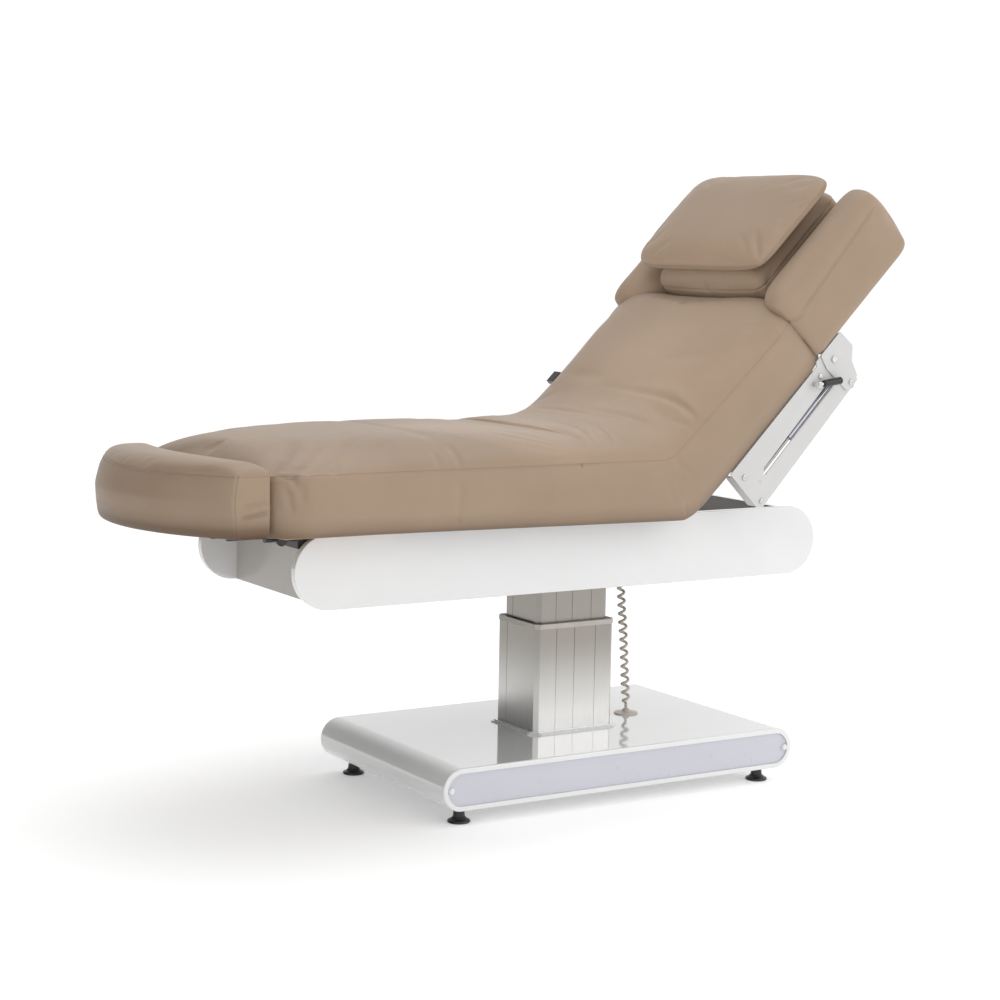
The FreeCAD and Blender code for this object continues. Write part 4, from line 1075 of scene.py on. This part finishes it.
def make_head_cushion():
    tb = shares(440.0, 9.0, True, True)
    th = shares(150.0, 9.0, False, True)
    fine = 34 * (1 - np.cos(np.linspace(0, math.pi / 2, 9)))
    length = 332.0
    run = np.concatenate([fine, np.arange(42, length - 40, 9.0), (length - fine)[::-1]])
    loops = []
    for r in run:
        d = min(r, length - r)
        e = rounded(d, 34)
        half = 214 - 30 * (1 - rounded(d, 30))
        low, seam, top = 42.0, 192.0 + 4 * r / length, 236.0 + 8 * r / length
        side = [(half - 4, low), (half, low + 10), (half + 2, low + 60), (half + 3, seam - 30), (half, seam)]
        arch = []
        for angle in np.linspace(0, math.pi, 90):
            c = math.cos(angle)
            arch.append((half * blunt(c, 0.36), seam + (top - seam) * e * math.sin(angle) ** 0.7))
        near = [(-a, h) for a, h in side]
        ring = ring_from([near[0], side[0]], side, arch, near[::-1], tb, th)
        loops.append(up(574 + r, ring[:, 0], ring[:, 1]))
    pad = Pad("head_cushion_cover", np.array(loops), tb, th, bulge=(0.004, 0.004))
    hold = pad.held(0.06, 0.8, (pad.seam_near, pad.seam_far))
    puff(pad.obj, hold, np.full(len(hold), 0.3), 0.006)
    near = seam_points(pad, pad.seam_near)
    far = seam_points(pad, pad.seam_far)
    front = coords(pad.obj)[pad.ring_part(0, pad.seam_far, pad.seam_near)]
    subdivide(pad.obj)
    rows = []
    for tag, line in (("near", near), ("far", far), ("front", front)):
        seam_line(pad.obj, line)
        rows.append(stitch_row("head_stitches_" + tag, pad.obj, line))
    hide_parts("head_cushion")
    for obj in [pad.obj] + rows:
        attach(obj, "head_section")


def make_pillow():
    """Loose pillow: two panels that meet in a knife-edge seam."""
    u0, u1, half = 577.0, 903.0, 266.0
    seam = 262.0
    n_y, n_u = 76, 46
    grid = [np.linspace(-1, 1, n + 1) for n in (n_y, n_u)]
    grid = [np.sin(t * math.pi / 2 * 0.94) / math.sin(math.pi / 2 * 0.94) for t in grid]
    Y, U = np.meshgrid(*grid, indexing="ij")
    corner = np.where(U < 0, np.where(Y > 0, 1.7, 1.1), 1.5)
    pull_y = 1 - 0.016 * (1 - U ** 2) - 0.048 * corner * np.abs(U) ** 7
    pull_u = 1 - 0.010 * (1 - Y ** 2) - 0.075 * corner * np.abs(Y) ** 7
    y = Y * half * pull_y
    u = (u0 + u1) / 2 + U * (u1 - u0) / 2 * pull_u
    across = 1 - np.abs(Y) ** np.where(Y < 0, 3.2, 5.5)
    body = np.clip(across * (1 - np.abs(U) ** 5.0), 0, 1) ** 0.42
    top = seam + 41 * body
    low = seam - 26 * body
    ids_top = np.arange((n_y + 1) * (n_u + 1)).reshape(n_y + 1, n_u + 1)
    ids_low = ids_top.copy()
    ids_low[1:-1, 1:-1] = ids_top.size + np.arange((n_y - 1) * (n_u - 1)).reshape(n_y - 1, n_u - 1)
    verts = np.concatenate([up(u, y, top).reshape(-1, 3), up(u, y, low)[1:-1, 1:-1].reshape(-1, 3)])
    faces = []
    for ids in (ids_top, ids_low):
        faces.append(np.stack([ids[:-1, :-1], ids[1:, :-1], ids[1:, 1:], ids[:-1, 1:]], -1).reshape(-1, 4))
    obj = make_object("pillow_cover", verts, np.concatenate(faces), TAN)
    outward(obj)
    edge = np.concatenate([ids_top[:, 0], ids_top[-1, 1:], ids_top[-2::-1, -1], ids_top[0, -2::-1]])
    co = coords(obj)
    hold = np.full(len(co), 0.04)
    hold[edge] = 0.6
    hold[ids_top.size:] = 0.35
    spare = np.full(len(co), 0.3)
    for v in (-1, 1):
        for w in (u0 + 18, u1 - 18):
            spare += 0.12 * local(co, up(w, v * 235, seam + 10), (0.07, 0.07, 0.07))
    puff(obj, hold, spare, 0.008, growth=0.016)
    line = coords(obj)[edge]
    subdivide(obj)
    seam_line(obj, line, 0.0010, 0.0035)
    rows = [stitch_row("pillow_stitches", obj, line, 0.0046)]
    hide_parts("pillow")
    for piece in [obj] + rows:
        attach(piece, "pillow_body")


for wing_side in (-1, 1):
    make_wing(wing_side)
make_head_cushion()
make_pillow()


# ---------------------------------------------------------------- floor and light

def make_stage():
    m, _, shader = new_material("floor_paint")
    put(shader, Base_Color=(0.965, 0.965, 0.965, 1), Roughness=0.9, Specular_IOR_Level=0.1,
        Emission_Color=(1, 1, 1, 1), Emission_Strength=0.20)
    corners = [(-30, -30, 0), (30, -30, 0), (30, 30, 0), (-30, 30, 0)]
    floor = make_object("floor", corners, [(0, 1, 2, 3)], m, False)
    world = bpy.data.worlds.new("studio")
    bpy.context.scene.world = world
    world.use_nodes = True
    tree = world.node_tree
    background = tree.nodes["Background"]
    put(background, Color=(1, 1, 1, 1))
    place = tree.nodes.new("ShaderNodeTexCoord")
    dot = add(tree, "ShaderNodeVectorMath", operation="DOT_PRODUCT")
    dot.inputs[1].default_value = (-0.80, 0.48, 0.28)  # the dim side, away from the camera's view
    tree.links.new(place.outputs["Generated"], dot.inputs[0])
    level = add(tree, "ShaderNodeMapRange", interpolation_type="SMOOTHSTEP")
    put(level, From_Min=0.36, From_Max=0.95, To_Min=1.05, To_Max=0.06)
    tree.links.new(dot.outputs["Value"], level.inputs["Value"])
    tree.links.new(level.outputs["Result"], background.inputs["Strength"])
    for name, place, aim, size, power in (
        ("top", (0.3, 0.2, 4.4), (0.1, 0.0, 0.6), 3.4, 40),
        ("side", (2.6, -3.8, 2.2), (0.3, 0.0, 0.8), 2.6, 28),
        ("head", (-0.25, -0.25, 1.15), (0.55, 0.0, 1.12), 0.5, 0.8),
    ):
        data = bpy.data.lights.new(name, "AREA")
        data.shape = "SQUARE"
        data.size = size
        data.energy = power
        data.spread = 1.3 if name == "head" else math.pi
        lamp = bpy.data.objects.new(name, data)
        link(lamp)
        lamp.visible_camera = False
        lamp.visible_glossy = name != "head"
        lamp.location = place
        lamp.rotation_euler = (Vector(aim) - Vector(place)).to_track_quat("-Z", "Y").to_euler()
    bpy.context.scene.view_settings.view_transform = "Standard"


make_stage()
